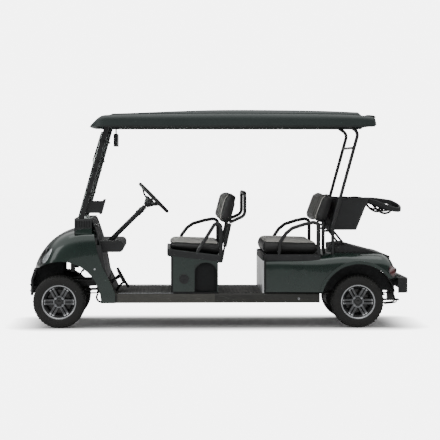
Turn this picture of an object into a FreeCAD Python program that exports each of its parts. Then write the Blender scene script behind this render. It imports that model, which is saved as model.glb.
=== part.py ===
import FreeCAD, Part
import math
import os
import Sketcher
from FreeCAD import Placement, Rotation, Vector

# Four-seat golf cart, facing -X, standing on Z = 0, with Y across and the driver at -Y.
# The driving dimensions, in millimetres and degrees.
SIZES = {
    # Stance and overall size
    "wheelbase": 2590.0,
    "front_overhang": 277.0,
    "rear_overhang": 445.0,
    "front_track": 940.0,
    "rear_track": 980.0,
    "body_width": 1150.0,
    "floor_height": 305.0,
    "roof_top_height": 1908.0,
    "roof_edge_height": 1747.0,
    "seat_height": 757.0,
    "seat_gap": 0.3,
    "skin_gap": 0.8,
    "overrun": 20.0,
    # Wheels
    "tyre_diameter": 459.0,
    "tyre_width": 205.0,
    "tyre_tread_width": 176.0,
    "tyre_shoulder_drop": 9.0,
    "bead_diameter": 254.0,
    "rim_lip_diameter": 300.0,
    "rim_lip_width": 7.0,
    "rim_width": 178.0,
    "rim_wall": 6.0,
    "rim_well_depth": 14.0,
    "rim_web_inset": 56.0,
    "rim_web_thickness": 8.0,
    "spoke_depth": 16.0,
    "spoke_inset": 12.0,
    "spoke_root_width": 30.0,
    "spoke_tip_width": 46.0,
    "spoke_slot_width": 9.0,
    "hub_diameter": 118.0,
    "hub_cap_diameter": 62.0,
    "hub_cap_rise": 8.0,
    "lug_circle_diameter": 88.0,
    "lug_nut_diameter": 17.0,
    "lug_nut_length": 12.0,
    "spindle_diameter": 30.0,
    "spindle_play": 1.0,
    "spindle_reach": 70.0,
    # Front axle and steering
    "kingpin_inset": 95.0,
    "kingpin_diameter": 20.0,
    "knuckle_boss_diameter": 46.0,
    "knuckle_boss_height": 84.0,
    "yoke_plate": 12.0,
    "yoke_play": 1.5,
    "yoke_width": 50.0,
    "axle_beam_diameter": 50.0,
    "steering_arm_length": 118.0,
    "steering_arm_inset": 42.0,
    "steering_arm_width": 24.0,
    "steering_arm_thickness": 12.0,
    "tie_rod_diameter": 18.0,
    "tie_rod_drop": 20.0,
    "tie_rod_end_diameter": 26.0,
    "steering_wheel_diameter": 362.0,
    "steering_rim_diameter": 27.0,
    "steering_wheel_reach": 817.0,
    "steering_wheel_height": 1128.0,
    "steering_wheel_offset": 285.0,
    "steering_angle": 44.5,
    "steering_hub_diameter": 92.0,
    "steering_hub_length": 74.0,
    "steering_dish": 52.0,
    "column_diameter": 44.0,
    "column_length": 452.0,
    "shaft_diameter": 24.0,
    "shaft_length": 60.0,
    "column_gap": 6.0,
    # Chassis frame, springs and rear axle
    "rail_spacing": 390.0,
    "rail_width": 42.0,
    "rail_height": 50.0,
    "rail_kick": 112.0,
    "rail_front_kick_reach": 350.0,
    "rail_rear_kick_reach": 380.0,
    "rail_kick_run": 112.0,
    "cross_beam_width": 50.0,
    "cross_beam_height": 40.0,
    "front_spring_spacing": 430.0,
    "rear_spring_spacing": 600.0,
    "spring_width": 50.0,
    "spring_leaf": 8.0,
    "spring_front_reach": 215.0,
    "spring_rear_reach": 330.0,
    "spring_eye_height": 300.0,
    "spring_eye_diameter": 34.0,
    "hanger_thickness": 14.0,
    "rear_axle_diameter": 70.0,
    "differential_diameter": 170.0,
    "differential_width": 130.0,
    "motor_diameter": 180.0,
    "motor_length": 270.0,
    "motor_offset": 150.0,
    "hitch_plate_thickness": 12.0,
    "hitch_plate_width": 90.0,
    "hitch_plate_length": 120.0,
    "hitch_height": 200.0,
    "hitch_pin_diameter": 20.0,
    # Floor and sills
    "floor_thickness": 18.0,
    "toe_board_run": 55.0,
    "toe_board_rise": 112.0,
    "sill_bottom_height": 220.0,
    "sill_width": 62.0,
    "sill_top_height": 304.0,
    "sill_corner_radius": 18.0,
    # Front cowl
    "cowl_front_setback": 38.0,
    "cowl_length": 724.0,
    "cowl_shoulder_run": 362.0,
    "cowl_top_height": 852.0,
    "cowl_nose_height": 512.0,
    "cowl_nose_bow": 95.0,
    "cowl_wall": 4.0,
    "cowl_lip_height": 505.0,
    "front_arch_radius": 350.0,
    "front_arch_offset": 12.0,
    "cap_height": 952.0,
    "cap_length": 152.0,
    "cap_side_inset": 42.0,
    "cap_corner_radius": 26.0,
    "lamp_length": 170.0,
    "lamp_width": 62.0,
    "lamp_setback": 162.0,
    "lamp_half_spacing": 430.0,
    "lamp_height": 620.0,
    "bumper_width": 664.0,
    "bumper_height": 226.0,
    "bumper_bottom_height": 272.0,
    "bumper_thickness": 22.0,
    "bumper_bow": 16.0,
    "bumper_lean": 30.0,
    "dash_panel_thickness": 6.0,
    "shelf_depth": 215.0,
    "shelf_height": 96.0,
    "shelf_bottom_height": 660.0,
    "shelf_side_inset": 60.0,
    # Front posts and windshield
    "strut_depth": 42.0,
    "strut_width": 26.0,
    "strut_half_spacing": 500.0,
    "strut_foot_setback": 60.0,
    "strut_top_run": 222.0,
    "pane_thickness": 5.0,
    "pane_stand_off": 6.0,
    "pane_split_height": 1450.0,
    "pane_top_height": 1705.0,
    "pane_seam": 8.0,
    "pane_foot_gap": 4.0,
    "pane_hinge_diameter": 9.0,
    "hinge_lug_length": 16.0,
    "mirror_length": 420.0,
    "mirror_height": 112.0,
    "mirror_depth": 34.0,
    "mirror_drop": 60.0,
    "mirror_reach": 48.0,
    "mirror_stem_diameter": 14.0,
    "display_width": 250.0,
    "display_height": 128.0,
    "display_thickness": 18.0,
    "display_centre_height": 1052.0,
    "display_reach": 140.0,
    "display_bracket": 5.0,
    "display_corner_radius": 10.0,
    # Roof
    "roof_front_setback": 530.0,
    "roof_length": 2535.0,
    "roof_width": 1180.0,
    "roof_wall": 4.0,
    "roof_bow": 60.0,
    "roof_rib_width": 40.0,
    "roof_rib_half_spacing": 484.0,
    "roof_seat_height": 1752.0,
    # Rear posts
    "rear_strut_diameter": 30.0,
    "rear_strut_half_spacing": 484.0,
    "rear_strut_foot_reach": 213.0,
    "rear_strut_knee_height": 890.0,
    "rear_strut_shoulder_height": 1700.0,
    "rear_strut_lean_run": 222.0,
    "rear_strut_hook": 74.0,
    "rear_strut_bend": 60.0,
    "rear_cross_height": 1565.0,
    "rear_cross_diameter": 22.0,
    # Front seat
    "front_pod_setback": 973.0,
    "front_pod_length": 404.0,
    "pod_width": 1100.0,
    "pod_wall": 5.0,
    "pod_recess_depth": 36.0,
    "pod_recess_length": 196.0,
    "pod_recess_height": 262.0,
    "pod_recess_gap": 10.0,
    "pod_port_diameter": 84.0,
    "pod_port_rise": 6.0,
    "tray_overhang_front": 36.0,
    "tray_overhang_rear": 38.0,
    "tray_front_height": 690.0,
    "tray_rear_height": 632.0,
    "tray_depth": 62.0,
    "tray_width": 1110.0,
    "cushion_width": 996.0,
    "cushion_depth": 461.0,
    "cushion_corner_radius": 24.0,
    "backrest_width": 960.0,
    "backrest_height": 285.0,
    "backrest_thickness": 108.0,
    "backrest_lean": 15.0,
    "backrest_corner_radius": 38.0,
    "front_backrest_reach": 484.0,
    "front_backrest_height": 1040.0,
    "upright_width": 42.0,
    "upright_thickness": 9.0,
    "upright_half_spacing": 330.0,
    "hoop_diameter": 30.0,
    "hoop_half_spacing": 372.0,
    "hoop_height": 1172.0,
    "hoop_reach": 97.0,
    "hoop_bend": 55.0,
    "armrest_diameter": 32.0,
    "armrest_half_spacing": 526.0,
    "armrest_bend": 32.0,
    "short_armrest_length": 205.0,
    "long_armrest_length": 345.0,
    "armrest_height": 918.0,
    "battery_length": 320.0,
    "battery_width": 900.0,
    "battery_height": 250.0,
    # Rear body and seat
    "rear_body_setback": 1776.0,
    "rear_body_length": 1178.0,
    "rear_body_shoulder_height": 654.0,
    "rear_seat_base_height": 640.0,
    "rear_body_wall": 4.0,
    "rear_body_low_height": 314.0,
    "rear_arch_radius": 328.0,
    "rear_arch_offset": 10.0,
    "rear_arch_lip": 26.0,
    "rear_arch_lip_depth": 34.0,
    "rear_tail_bow": 25.0,
    "liner_thickness": 4.0,
    "liner_width": 190.0,
    "kick_panel_thickness": 5.0,
    "deck_length": 480.0,
    "deck_front_height": 718.0,
    "deck_rear_height": 622.0,
    "deck_width": 926.0,
    "deck_reach": 76.0,
    "rear_cushion_depth": 488.0,
    "rear_backrest_reach": 290.0,
    "rear_backrest_height": 1038.0,
    "rear_backrest_lean": 20.0,
    "tail_lamp_height": 100.0,
    "tail_lamp_width": 60.0,
    "tail_lamp_depth": 30.0,
    "tail_lamp_centre_height": 492.0,
    "tail_lamp_setback": 135.0,
    "rear_bumper_height": 130.0,
    "rear_bumper_bottom_height": 302.0,
    "rear_bumper_depth": 90.0,
    "rear_bumper_width": 1040.0,
    # Bag rack
    "basket_top_length": 290.0,
    "basket_bottom_length": 245.0,
    "basket_top_width": 880.0,
    "basket_bottom_width": 800.0,
    "basket_top_height": 1122.0,
    "basket_bottom_height": 846.0,
    "basket_top_reach": 178.0,
    "basket_sweep": 60.0,
    "basket_wall": 4.0,
    "brace_diameter": 20.0,
    "brace_run": 160.0,
    "holder_length": 262.0,
    "holder_width": 250.0,
    "holder_height": 40.0,
    "holder_wall": 42.0,
    "holder_slope": 18.0,
    "holder_half_spacing": 205.0,
    "holder_top_height": 1122.0,
    # Pedals
    "pedal_width": 95.0,
    "pedal_height": 128.0,
    "pedal_thickness": 12.0,
    "pedal_spacing": 130.0,
    "pedal_arm_diameter": 16.0,
    "pedal_reach": 96.0,
    "pedal_foot_share": 0.75,
    # Small fittings
    "spring_seat_rise": 8.0,
    "rail_end_setback": 62.0,
    "hitch_tongue_reach": 46.0,
    "hitch_hole_inset": 25.0,
    "sill_inset": 15.0,
    "sill_front_reach": 100.0,
    "sill_end_gap": 12.0,
    "floor_rear_reach": 60.0,
    "pedal_lean": 25.0,
    "lamp_depth": 44.0,
    "cap_setback": 9.0,
    "cap_skirt": 36.0,
    "shelf_setback": 60.0,
    "shelf_corner_radius": 40.0,
    "pane_side_inset": 2.0,
    "pane_hinge_gap": 3.0,
    "pane_hinge_strap": 26.0,
    "roof_rib_setback": 130.0,
    "tray_corner_radius": 30.0,
    "pod_port_reach": 108.0,
    "pod_port_height": 124.0,
    "cushion_setback": 12.0,
    "cushion_fall": 14.0,
    "upright_foot_drop": 50.0,
    "upright_foot_depth": 12.0,
    "armrest_setback": 24.0,
    "rear_armrest_reach": 130.0,
    "rear_body_flare": 15.0,
    "rear_arch_lip_rise": 8.0,
    "tail_cut_length": 110.0,
    "seat_box_inset": 60.0,
    "seat_box_width": 860.0,
    "seat_box_length": 420.0,
    "kick_panel_depth": 14.0,
    "rear_rim_length": 500.0,
    "kick_corner_radius": 10.0,
    "rear_cushion_rise": 10.0,
    "deck_skirt": 80.0,
    "deck_fall": 14.0,
    "basket_corner_radius": 45.0,
    "rear_bumper_wall": 5.0,
    "rear_bumper_corner_radius": 55.0,
}

DOC = FreeCAD.newDocument("GolfCart")
SHEET_NAME = "Sizes"


class Dim:
    """A size that knows its value and the spreadsheet expression that gives it."""

    def __init__(self, value, text):
        self.value = float(value)
        self.text = text

    def __float__(self):
        return self.value

    def _join(self, other, sign, value):
        text = other.text if isinstance(other, Dim) else repr(float(other))
        return Dim(value, f"({self.text} {sign} {text})")

    def __add__(self, other):
        return self._join(other, "+", self.value + float(other))

    def __sub__(self, other):
        return self._join(other, "-", self.value - float(other))

    def __mul__(self, other):
        return self._join(other, "*", self.value * float(other))

    def __truediv__(self, other):
        return self._join(other, "/", self.value / float(other))

    def __rmul__(self, other):
        return self * other

    def __radd__(self, other):
        return self + other

    def __rsub__(self, other):
        return -self + other

    def __neg__(self):
        return Dim(-self.value, f"(-{self.text})")


class Sheet:
    """The spreadsheet of driving dimensions, read back by name."""

    def __init__(self, table):
        self.cells = DOC.addObject("Spreadsheet::Sheet", SHEET_NAME)
        for row, (name, value) in enumerate(table.items(), start=1):
            self.cells.set(f"A{row}", name)
            self.cells.set(f"B{row}", str(value))
            self.cells.setAlias(f"B{row}", name)
        DOC.recompute()

    def __getattr__(self, name):
        return Dim(self.cells.get(name), f"{SHEET_NAME}.{name}")


S = Sheet(SIZES)

# Places that follow from the driving dimensions
X_NOSE = (S.front_overhang + S.wheelbase + S.rear_overhang) / -2
X_FRONT_AXLE = X_NOSE + S.front_overhang
X_REAR_AXLE = X_FRONT_AXLE + S.wheelbase
X_TAIL = X_REAR_AXLE + S.rear_overhang
Z_AXLE = S.tyre_diameter / 2
X_COWL = X_NOSE + S.cowl_front_setback
X_COWL_BACK = X_COWL + S.cowl_length
X_SHOULDER = X_COWL + S.cowl_shoulder_run
X_POD = X_FRONT_AXLE + S.front_pod_setback
X_POD_BACK = X_POD + S.front_pod_length
X_REAR_BODY = X_FRONT_AXLE + S.rear_body_setback
X_REAR_BODY_BACK = X_REAR_BODY + S.rear_body_length
HALF_BODY = S.body_width / 2

X_AXIS = Vector(1, 0, 0)
Y_AXIS = Vector(0, 1, 0)
Z_AXIS = Vector(0, 0, 1)
LEFT_SHARE = -1
RIGHT_SHARE = 1
SIDES = {"left": LEFT_SHARE, "right": RIGHT_SHARE}


def point(x, y, z):
    return Vector(float(x), float(y), float(z))


def bind(obj, **sizes):
    """Bind properties to the sheet."""
    for name, size in sizes.items():
        setattr(obj, name, float(size))
        if isinstance(size, Dim):
            obj.setExpression(name, size.text)


def place(obj, base, rotation=Rotation()):
    """Put an object down with each coordinate bound to the sheet."""
    obj.Placement = Placement(point(*base), rotation)
    for axis, size in zip("xyz", base):
        if isinstance(size, Dim):
            obj.setExpression(f"Placement.Base.{axis}", size.text)
    return obj


def feature(label, shape):
    """A piece made with Part's own functions."""
    obj = DOC.addObject("Part::Feature", label)
    obj.Shape = shape
    return obj


def box(label, corner, length, width, height):
    obj = DOC.addObject("Part::Box", label)
    bind(obj, Length=length, Width=width, Height=height)
    return place(obj, corner)


def cylinder(label, base, radius, height, axis=Z_AXIS):
    obj = DOC.addObject("Part::Cylinder", label)
    bind(obj, Radius=radius, Height=height)
    return place(obj, base, Rotation(Z_AXIS, axis))


def fuse(label, parts):
    obj = DOC.addObject("Part::MultiFuse", label)
    obj.Shapes = parts
    obj.Refine = True
    return obj


def cut(label, base, tool):
    obj = DOC.addObject("Part::Cut", label)
    obj.Base = base
    obj.Tool = tool
    return obj


def hold(sketch, geometry, vertex, axis, size):
    """Hold one coordinate of a sketch point to the sheet."""
    if not isinstance(size, Dim):
        line = -2 if axis == "DistanceX" else -1
        sketch.addConstraint(Sketcher.Constraint("PointOnObject", geometry, vertex, line))
        return
    number = sketch.addConstraint(
        Sketcher.Constraint(axis, -1, 1, geometry, vertex, float(size))
    )
    sketch.setExpression(f"Constraints[{number}]", size.text)


def add_outline(sketch, corners):
    """A closed outline of straight lines, with every corner held to the sheet."""
    first = sketch.GeometryCount
    count = len(corners)
    points = [Vector(float(a), float(b), 0) for a, b in corners]
    for number, start in enumerate(points):
        sketch.addGeometry(Part.LineSegment(start, points[(number + 1) % count]), False)
    for number in range(count):
        after = first + (number + 1) % count
        sketch.addConstraint(Sketcher.Constraint("Coincident", first + number, 2, after, 1))
    for number, (a, b) in enumerate(corners):
        hold(sketch, first + number, 1, "DistanceX", a)
        hold(sketch, first + number, 1, "DistanceY", b)


def add_circle(sketch, a, b, radius):
    number = sketch.addGeometry(Part.Circle(Vector(float(a), float(b), 0), Z_AXIS, float(radius)), False)
    hold(sketch, number, 3, "DistanceX", a)
    hold(sketch, number, 3, "DistanceY", b)
    held = sketch.addConstraint(Sketcher.Constraint("Radius", number, float(radius)))
    sketch.setExpression(f"Constraints[{held}]", radius.text)


def new_body(label):
    body = DOC.addObject("PartDesign::Body", label)
    body.Label = label
    return body


def body_sketch(body, role, name, offset=None):
    """A sketch on one of the body's own origin planes, with a bound offset along its normal."""
    sketch = body.newObject("Sketcher::SketchObject", name)
    plane = [item for item in body.Origin.OriginFeatures if item.Role == role][0]
    sketch.AttachmentSupport = (plane, [""])
    sketch.MapMode = "FlatFace"
    if offset is not None:
        sketch.AttachmentOffset = Placement(Vector(0, 0, float(offset)), Rotation())
        sketch.setExpression("AttachmentOffset.Base.z", offset.text)
    return sketch


def pad(body, sketch, name, length, midplane=False, reverse=False):
    item = body.newObject("PartDesign::Pad", name)
    item.Profile = sketch
    bind(item, Length=length)
    item.Midplane = midplane
    item.Reversed = reverse
    return item


def pocket(body, sketch, name, length, reverse=False):
    item = body.newObject("PartDesign::Pocket", name)
    item.Profile = sketch
    bind(item, Length=length)
    item.Reversed = reverse
    return item


def revolve(body, sketch, name):
    item = body.newObject("PartDesign::Revolution", name)
    item.Profile = sketch
    item.ReferenceAxis = (sketch, ["H_Axis"])
    item.Angle = 360
    return item


def polar(body, item, name, count):
    """Repeat a feature about the wheel's own axis."""
    pattern = body.newObject("PartDesign::PolarPattern", name)
    pattern.Originals = [item]
    axis = [line for line in body.Origin.OriginFeatures if line.Role == "Y_Axis"][0]
    pattern.Axis = (axis, [""])
    pattern.Angle = 360
    pattern.Occurrences = count
    body.Tip = pattern
    return pattern


def profile_solid(label, corners, start, depth):
    """A side outline in X and Z carried across the cart, from start, by a bound depth."""
    sketch = DOC.addObject("Sketcher::SketchObject", f"{label}_outline")
    sketch.Placement = Placement(Vector(0, float(start), 0), Rotation(X_AXIS, 90))
    if isinstance(start, Dim):
        sketch.setExpression("Placement.Base.y", start.text)
    add_outline(sketch, corners)
    solid = DOC.addObject("Part::Extrusion", label)
    solid.Base = sketch
    solid.DirMode = "Custom"
    solid.Dir = Y_AXIS
    solid.Solid = True
    bind(solid, LengthFwd=depth)
    return solid


def rounded_path(points, bend):
    """A path of straight runs joined by tangent arcs of the bend radius."""
    edges = []
    start = points[0]
    for before, corner, after in zip(points, points[1:], points[2:]):
        way_in = (corner - before).normalize()
        way_out = (after - corner).normalize()
        turn = way_in.getAngle(way_out)
        reach = float(bend) * math.tan(turn / 2)
        entry = corner - way_in * reach
        leave = corner + way_out * reach
        inward = (way_out - way_in).normalize()
        middle = corner + inward * (float(bend) / math.cos(turn / 2) - float(bend))
        edges.append(Part.LineSegment(start, entry).toShape())
        edges.append(Part.Arc(entry, middle, leave).toShape())
        start = leave
    edges.append(Part.LineSegment(start, points[-1]).toShape())
    return Part.Wire(edges)


def tube(points, radius, bend=None):
    """A round bar along a bent path."""
    path = rounded_path(points, bend) if bend is not None else Part.makePolygon(points)
    way = (points[1] - points[0]).normalize()
    ring = Part.Wire(Part.makeCircle(float(radius), points[0], way))
    return path.makePipeShell([ring], True, True)


def prism(corners, start, depth):
    """A side outline of plain points carried across the cart."""
    points = [point(x, start, z) for x, z in corners]
    face = Part.Face(Part.makePolygon(points + points[:1]))
    return face.extrude(Vector(0, float(depth), 0))


def block(low, high):
    """A plain block between two corners."""
    a, b = point(*low), point(*high)
    return Part.makeBox(b.x - a.x, b.y - a.y, b.z - a.z, a)


# A closed skin from two like grids of points
def skin_surface(grid):
    surface = Part.BSplineSurface()
    surface.interpolate(grid)
    return surface


def inset_grid(grid, surface, wall):
    """The grid moved inward by the wall, square to the surface."""
    rows = []
    for row in grid:
        moved = []
        for spot in row:
            u, v = surface.parameter(spot)
            moved.append(spot + surface.normal(u, v) * float(wall))
        rows.append(moved)
    return rows


def walled_skin(grid, wall):
    """A sheet of even wall with its outer side through the grid."""
    outer = skin_surface(grid)
    inner = skin_surface(inset_grid(grid, outer, wall))
    u0, u1, v0, v1 = outer.bounds()
    p0, p1, q0, q1 = inner.bounds()
    faces = [outer.toShape(), inner.toShape()]
    for a, b in ((outer.uIso(u0), inner.uIso(p0)), (outer.uIso(u1), inner.uIso(p1))):
        faces.append(Part.makeRuledSurface(a.toShape(), b.toShape()))
    for a, b in ((outer.vIso(v0), inner.vIso(q0)), (outer.vIso(v1), inner.vIso(q1))):
        faces.append(Part.makeRuledSurface(a.toShape(), b.toShape()))
    shell = Part.makeShell(faces)
    shell.sewShape()
    solid = Part.makeSolid(shell)
    if solid.Volume < 0:
        solid.reverse()
    return solid


def arched_row(x, half_width, low, top, power, bow, count):
    """One cross-section of a body skin: a superellipse from sill to sill, swept back at its sides."""
    row = []
    for number in range(count + 1):
        turn = math.pi * number / count
        along, up = math.cos(turn), math.sin(turn) if number not in (0, count) else 0.0
        reach = (abs(along) ** power + up**power) ** (-1 / power)
        across = along * reach
        height = float(low) + (float(top) - float(low)) * up * reach
        row.append(point(float(x) + float(bow) * across**2, across * float(half_width), height))
    return row


def guided_rows(guide, low, powers, bows):
    """Evenly spaced cross-sections along a guide of place, half width and top height.

    powers are the squareness at the guide's start and end, bows how far the sides sweep there.
    """
    curve = Part.BSplineCurve()
    curve.interpolate([point(*spot) for spot in guide])
    spots = curve.discretize(Number=GUIDE_ROWS)
    rows = []
    for number, spot in enumerate(spots):
        share = number / (GUIDE_ROWS - 1)
        power = powers[0] + (powers[1] - powers[0]) * share
        bow = bows[0] * (1 - share) ** BOW_FADE + bows[1] * share**BOW_FADE
        rows.append(arched_row(spot.x, spot.y, low, spot.z, power, bow, SECTION_POINTS))
    return rows


GUIDE_ROWS = 14
BOW_FADE = 4
SECTION_POINTS = 24


def closed_form(rows):
    """The solid inside a stretch of cross-sections, closed under its sill line and at both ends."""
    surface = skin_surface(rows)
    u0, u1, v0, v1 = surface.bounds()
    ends = [surface.uIso(u0).toShape(), surface.uIso(u1).toShape()]
    sides = [surface.vIso(v0).toShape(), surface.vIso(v1).toShape()]
    floor = Part.makeRuledSurface(*sides)
    faces = [surface.toShape(), floor]
    for end, row in zip(ends, (rows[0], rows[-1])):
        flat = Part.makeRuledSurface(end, Part.LineSegment(row[0], row[-1]).toShape())
        faces.append(flat)
    shell = Part.makeShell(faces)
    shell.sewShape()
    solid = Part.makeSolid(shell)
    if solid.Volume < 0:
        solid.reverse()
    return solid


# Wheels
def make_tyre(name, x, y):
    body = new_body(f"tyre_{name}")
    sketch = body_sketch(body, "YZ_Plane", f"tyre_{name}_section")
    bead = S.bead_diameter / 2
    tread = S.tyre_diameter / 2
    half = S.tyre_width / 2
    tread_half = S.tyre_tread_width / 2
    belly = (bead + tread) / 2
    rim_half = S.rim_width / 2
    lip = S.rim_lip_diameter / 2
    shoulder = tread - S.tyre_shoulder_drop
    add_outline(
        sketch,
        [
            (-rim_half + S.rim_lip_width, bead),
            (rim_half - S.rim_lip_width, bead),
            (rim_half - S.rim_lip_width, lip),
            (half, belly),
            (half - S.tyre_shoulder_drop / 2, shoulder - S.tyre_shoulder_drop * 2),
            (tread_half, shoulder),
            (tread_half / 2, tread),
            (-tread_half / 2, tread),
            (-tread_half, shoulder),
            (S.tyre_shoulder_drop / 2 - half, shoulder - S.tyre_shoulder_drop * 2),
            (-half, belly),
            (-rim_half + S.rim_lip_width, lip),
        ],
    )
    revolve(body, sketch, f"tyre_{name}_ring")
    return place(body, (x, y, Z_AXLE))


SPOKE_COUNT = 6
LUG_COUNT = 4


def make_rim(name, x, y, side):
    """An alloy rim: barrel with its web and hub, double spokes, lug nuts and centre cap."""
    body = new_body(f"rim_{name}")
    sketch = body_sketch(body, "YZ_Plane", f"rim_{name}_section")
    half = S.rim_width / 2
    bead = S.bead_diameter / 2
    lip = S.rim_lip_diameter / 2
    well = bead - S.rim_well_depth
    inside = well - S.rim_wall
    hub = S.hub_diameter / 2
    bore = S.spindle_diameter / 2 + S.spindle_play
    web_in = S.rim_web_inset - half
    web_out = web_in + S.rim_web_thickness
    face = half - S.spoke_inset
    add_outline(
        sketch,
        [
            (-half, lip),
            (-half, bead - S.rim_wall),
            (-half + S.rim_web_inset / 2, inside),
            (web_in, inside),
            (web_in, bore),
            (S.spindle_reach - S.rim_well_depth, bore),
            (S.spindle_reach - S.rim_well_depth, 0),
            (face, 0),
            (face, hub - S.rim_wall),
            (face - S.spoke_depth, hub),
            (web_out, hub),
            (web_out, inside),
            (half - S.rim_web_inset / 2, inside),
            (half - S.rim_lip_width, bead - S.rim_wall),
            (half, lip),
            (half - S.rim_lip_width, lip),
            (half - S.rim_lip_width, bead),
            (S.rim_web_inset / 2, bead),
            (S.rim_web_inset / 4, well),
            (-S.rim_web_inset / 4, well),
            (-S.rim_web_inset / 2, bead),
            (S.rim_lip_width - half, bead),
            (S.rim_lip_width - half, lip),
        ],
    )
    revolve(body, sketch, f"rim_{name}_barrel")
    spoke = body_sketch(body, "XZ_Plane", f"rim_{name}_spoke_outline", -face)
    root = hub - S.rim_wall * 2
    tip = bead - S.rim_wall / 2
    slot = S.spoke_slot_width / 2
    add_outline(
        spoke,
        [
            (-S.spoke_root_width / 2, root),
            (S.spoke_root_width / 2, root),
            (S.spoke_tip_width / 2, tip),
            (-S.spoke_tip_width / 2, tip),
        ],
    )
    add_outline(
        spoke,
        [
            (-slot / 2, hub + slot),
            (slot / 2, hub + slot),
            (slot, tip - slot * 2),
            (-slot, tip - slot * 2),
        ],
    )
    arm = pad(body, spoke, f"rim_{name}_spoke", S.spoke_depth)
    polar(body, arm, f"rim_{name}_spokes", SPOKE_COUNT)
    nut = body_sketch(body, "XZ_Plane", f"rim_{name}_nut_outline", -(face + S.lug_nut_length))
    add_circle(nut, 0, S.lug_circle_diameter / 2, S.lug_nut_diameter / 2)
    bolt = pad(body, nut, f"rim_{name}_nut", S.lug_nut_length)
    polar(body, bolt, f"rim_{name}_nuts", LUG_COUNT)
    cap = body_sketch(body, "XZ_Plane", f"rim_{name}_cap_outline", -(face + S.hub_cap_rise))
    add_circle(cap, 0, 0, S.hub_cap_diameter / 2)
    pad(body, cap, f"rim_{name}_cap", S.hub_cap_rise)
    turn = Rotation(Z_AXIS, 180) if side == LEFT_SHARE else Rotation()
    return place(body, (x, y, Z_AXLE), turn)


def make_wheels():
    pieces = []
    places = {"front": (X_FRONT_AXLE, S.front_track / 2), "rear": (X_REAR_AXLE, S.rear_track / 2)}
    for end, (x, half_track) in places.items():
        for side, share in SIDES.items():
            name = f"{end}_{side}"
            pieces.append(make_tyre(name, x, half_track * share))
            pieces.append(make_rim(name, x, half_track * share, share))
    return pieces


# Front axle, knuckles and tie rod
def make_front_axle():
    """The beam, a C-shaped yoke at each end and the seats that its springs lie on."""
    kingpin = S.front_track / 2 - S.kingpin_inset
    beam_end = kingpin - S.yoke_width
    lug_gap = S.knuckle_boss_height / 2 + S.yoke_play
    lugs = {"upper": lug_gap, "lower": -lug_gap - S.yoke_plate}
    parts = [
        cylinder(
            "front_beam", (X_FRONT_AXLE, -beam_end, Z_AXLE), S.axle_beam_diameter / 2, beam_end * 2, Y_AXIS
        )
    ]
    for side, share in SIDES.items():
        reach = kingpin - beam_end
        near = X_FRONT_AXLE - S.yoke_width / 2
        back = beam_end * share - S.yoke_plate / 2
        bottom = Z_AXLE - lug_gap - S.yoke_plate
        height = (lug_gap + S.yoke_plate) * 2
        parts.append(box(f"yoke_back_{side}", (near, back, bottom), S.yoke_width, S.yoke_plate, height))
        start = beam_end if share == RIGHT_SHARE else -kingpin
        for level, low in lugs.items():
            lug = box(f"yoke_{level}_{side}", (near, start, Z_AXLE + low), S.yoke_width, reach, S.yoke_plate)
            eye_base = (X_FRONT_AXLE, kingpin * share, Z_AXLE + low)
            eye = cylinder(f"yoke_{level}_eye_{side}", eye_base, S.yoke_width / 2, S.yoke_plate)
            parts.extend([lug, eye])
        pin_base = (X_FRONT_AXLE, kingpin * share, bottom)
        parts.append(cylinder(f"kingpin_{side}", pin_base, S.kingpin_diameter / 2, height))
        seat = (
            X_FRONT_AXLE - S.spring_width / 2,
            S.front_spring_spacing / 2 * share - S.spring_width / 2,
            Z_AXLE,
        )
        rise = S.axle_beam_diameter / 2 + S.spring_seat_rise
        parts.append(box(f"front_spring_seat_{side}", seat, S.spring_width, S.spring_width, rise))
    return fuse("front_axle", parts)


def make_knuckle(side):
    """A steering knuckle: boss on the kingpin, spindle for the wheel and arm for the tie rod."""
    share = SIDES[side]
    kingpin = (S.front_track / 2 - S.kingpin_inset) * share
    boss_low = Z_AXLE - S.knuckle_boss_height / 2
    boss_base = (X_FRONT_AXLE, kingpin, boss_low)
    boss = cylinder(f"boss_{side}", boss_base, S.knuckle_boss_diameter / 2, S.knuckle_boss_height)
    length = S.kingpin_inset + S.spindle_reach - S.rim_well_depth - S.spindle_play
    way = Vector(0, share, 0)
    spindle = cylinder(
        f"spindle_{side}", (X_FRONT_AXLE, kingpin, Z_AXLE), S.spindle_diameter / 2, length, way
    )
    flange_base = (X_FRONT_AXLE, kingpin + S.knuckle_boss_diameter / 2 * share, Z_AXLE)
    flange = cylinder(
        f"flange_{side}", flange_base, S.spindle_diameter, S.steering_arm_thickness, way
    )
    low = Vector(0, -float(S.steering_arm_width) / 2, 0)
    arm = Part.makeBox(S.steering_arm_length, S.steering_arm_width, S.steering_arm_thickness, low)
    tip = point(S.steering_arm_length, 0, 0)
    arm = arm.fuse(Part.makeCylinder(float(S.steering_arm_width) / 2, S.steering_arm_thickness, tip))
    arm.rotate(Vector(), Z_AXIS, -share * math.degrees(steering_arm_lean()))
    arm.translate(point(*boss_base))
    forging = fuse(f"knuckle_{side}_forging", [boss, spindle, flange, feature(f"arm_{side}", arm)])
    bore_radius = (S.kingpin_diameter + S.spindle_play) / 2
    bore = cylinder(f"kingpin_bore_{side}", boss_base, bore_radius, S.knuckle_boss_height)
    return cut(f"knuckle_{side}", forging, bore)


def steering_arm_lean():
    """How far the steering arms lean inward, in radians."""
    return math.asin(float(S.steering_arm_inset) / float(S.steering_arm_length))


def tie_rod_place():
    """The middle of the right end of the tie rod: behind the axle, inboard and below the arm."""
    run = float(S.steering_arm_length) * math.cos(steering_arm_lean())
    half = float(S.front_track) / 2 - float(S.kingpin_inset) - float(S.steering_arm_inset)
    low = float(Z_AXLE) - float(S.knuckle_boss_height) / 2 - float(S.tie_rod_drop)
    return float(X_FRONT_AXLE) + run, half, low


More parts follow.
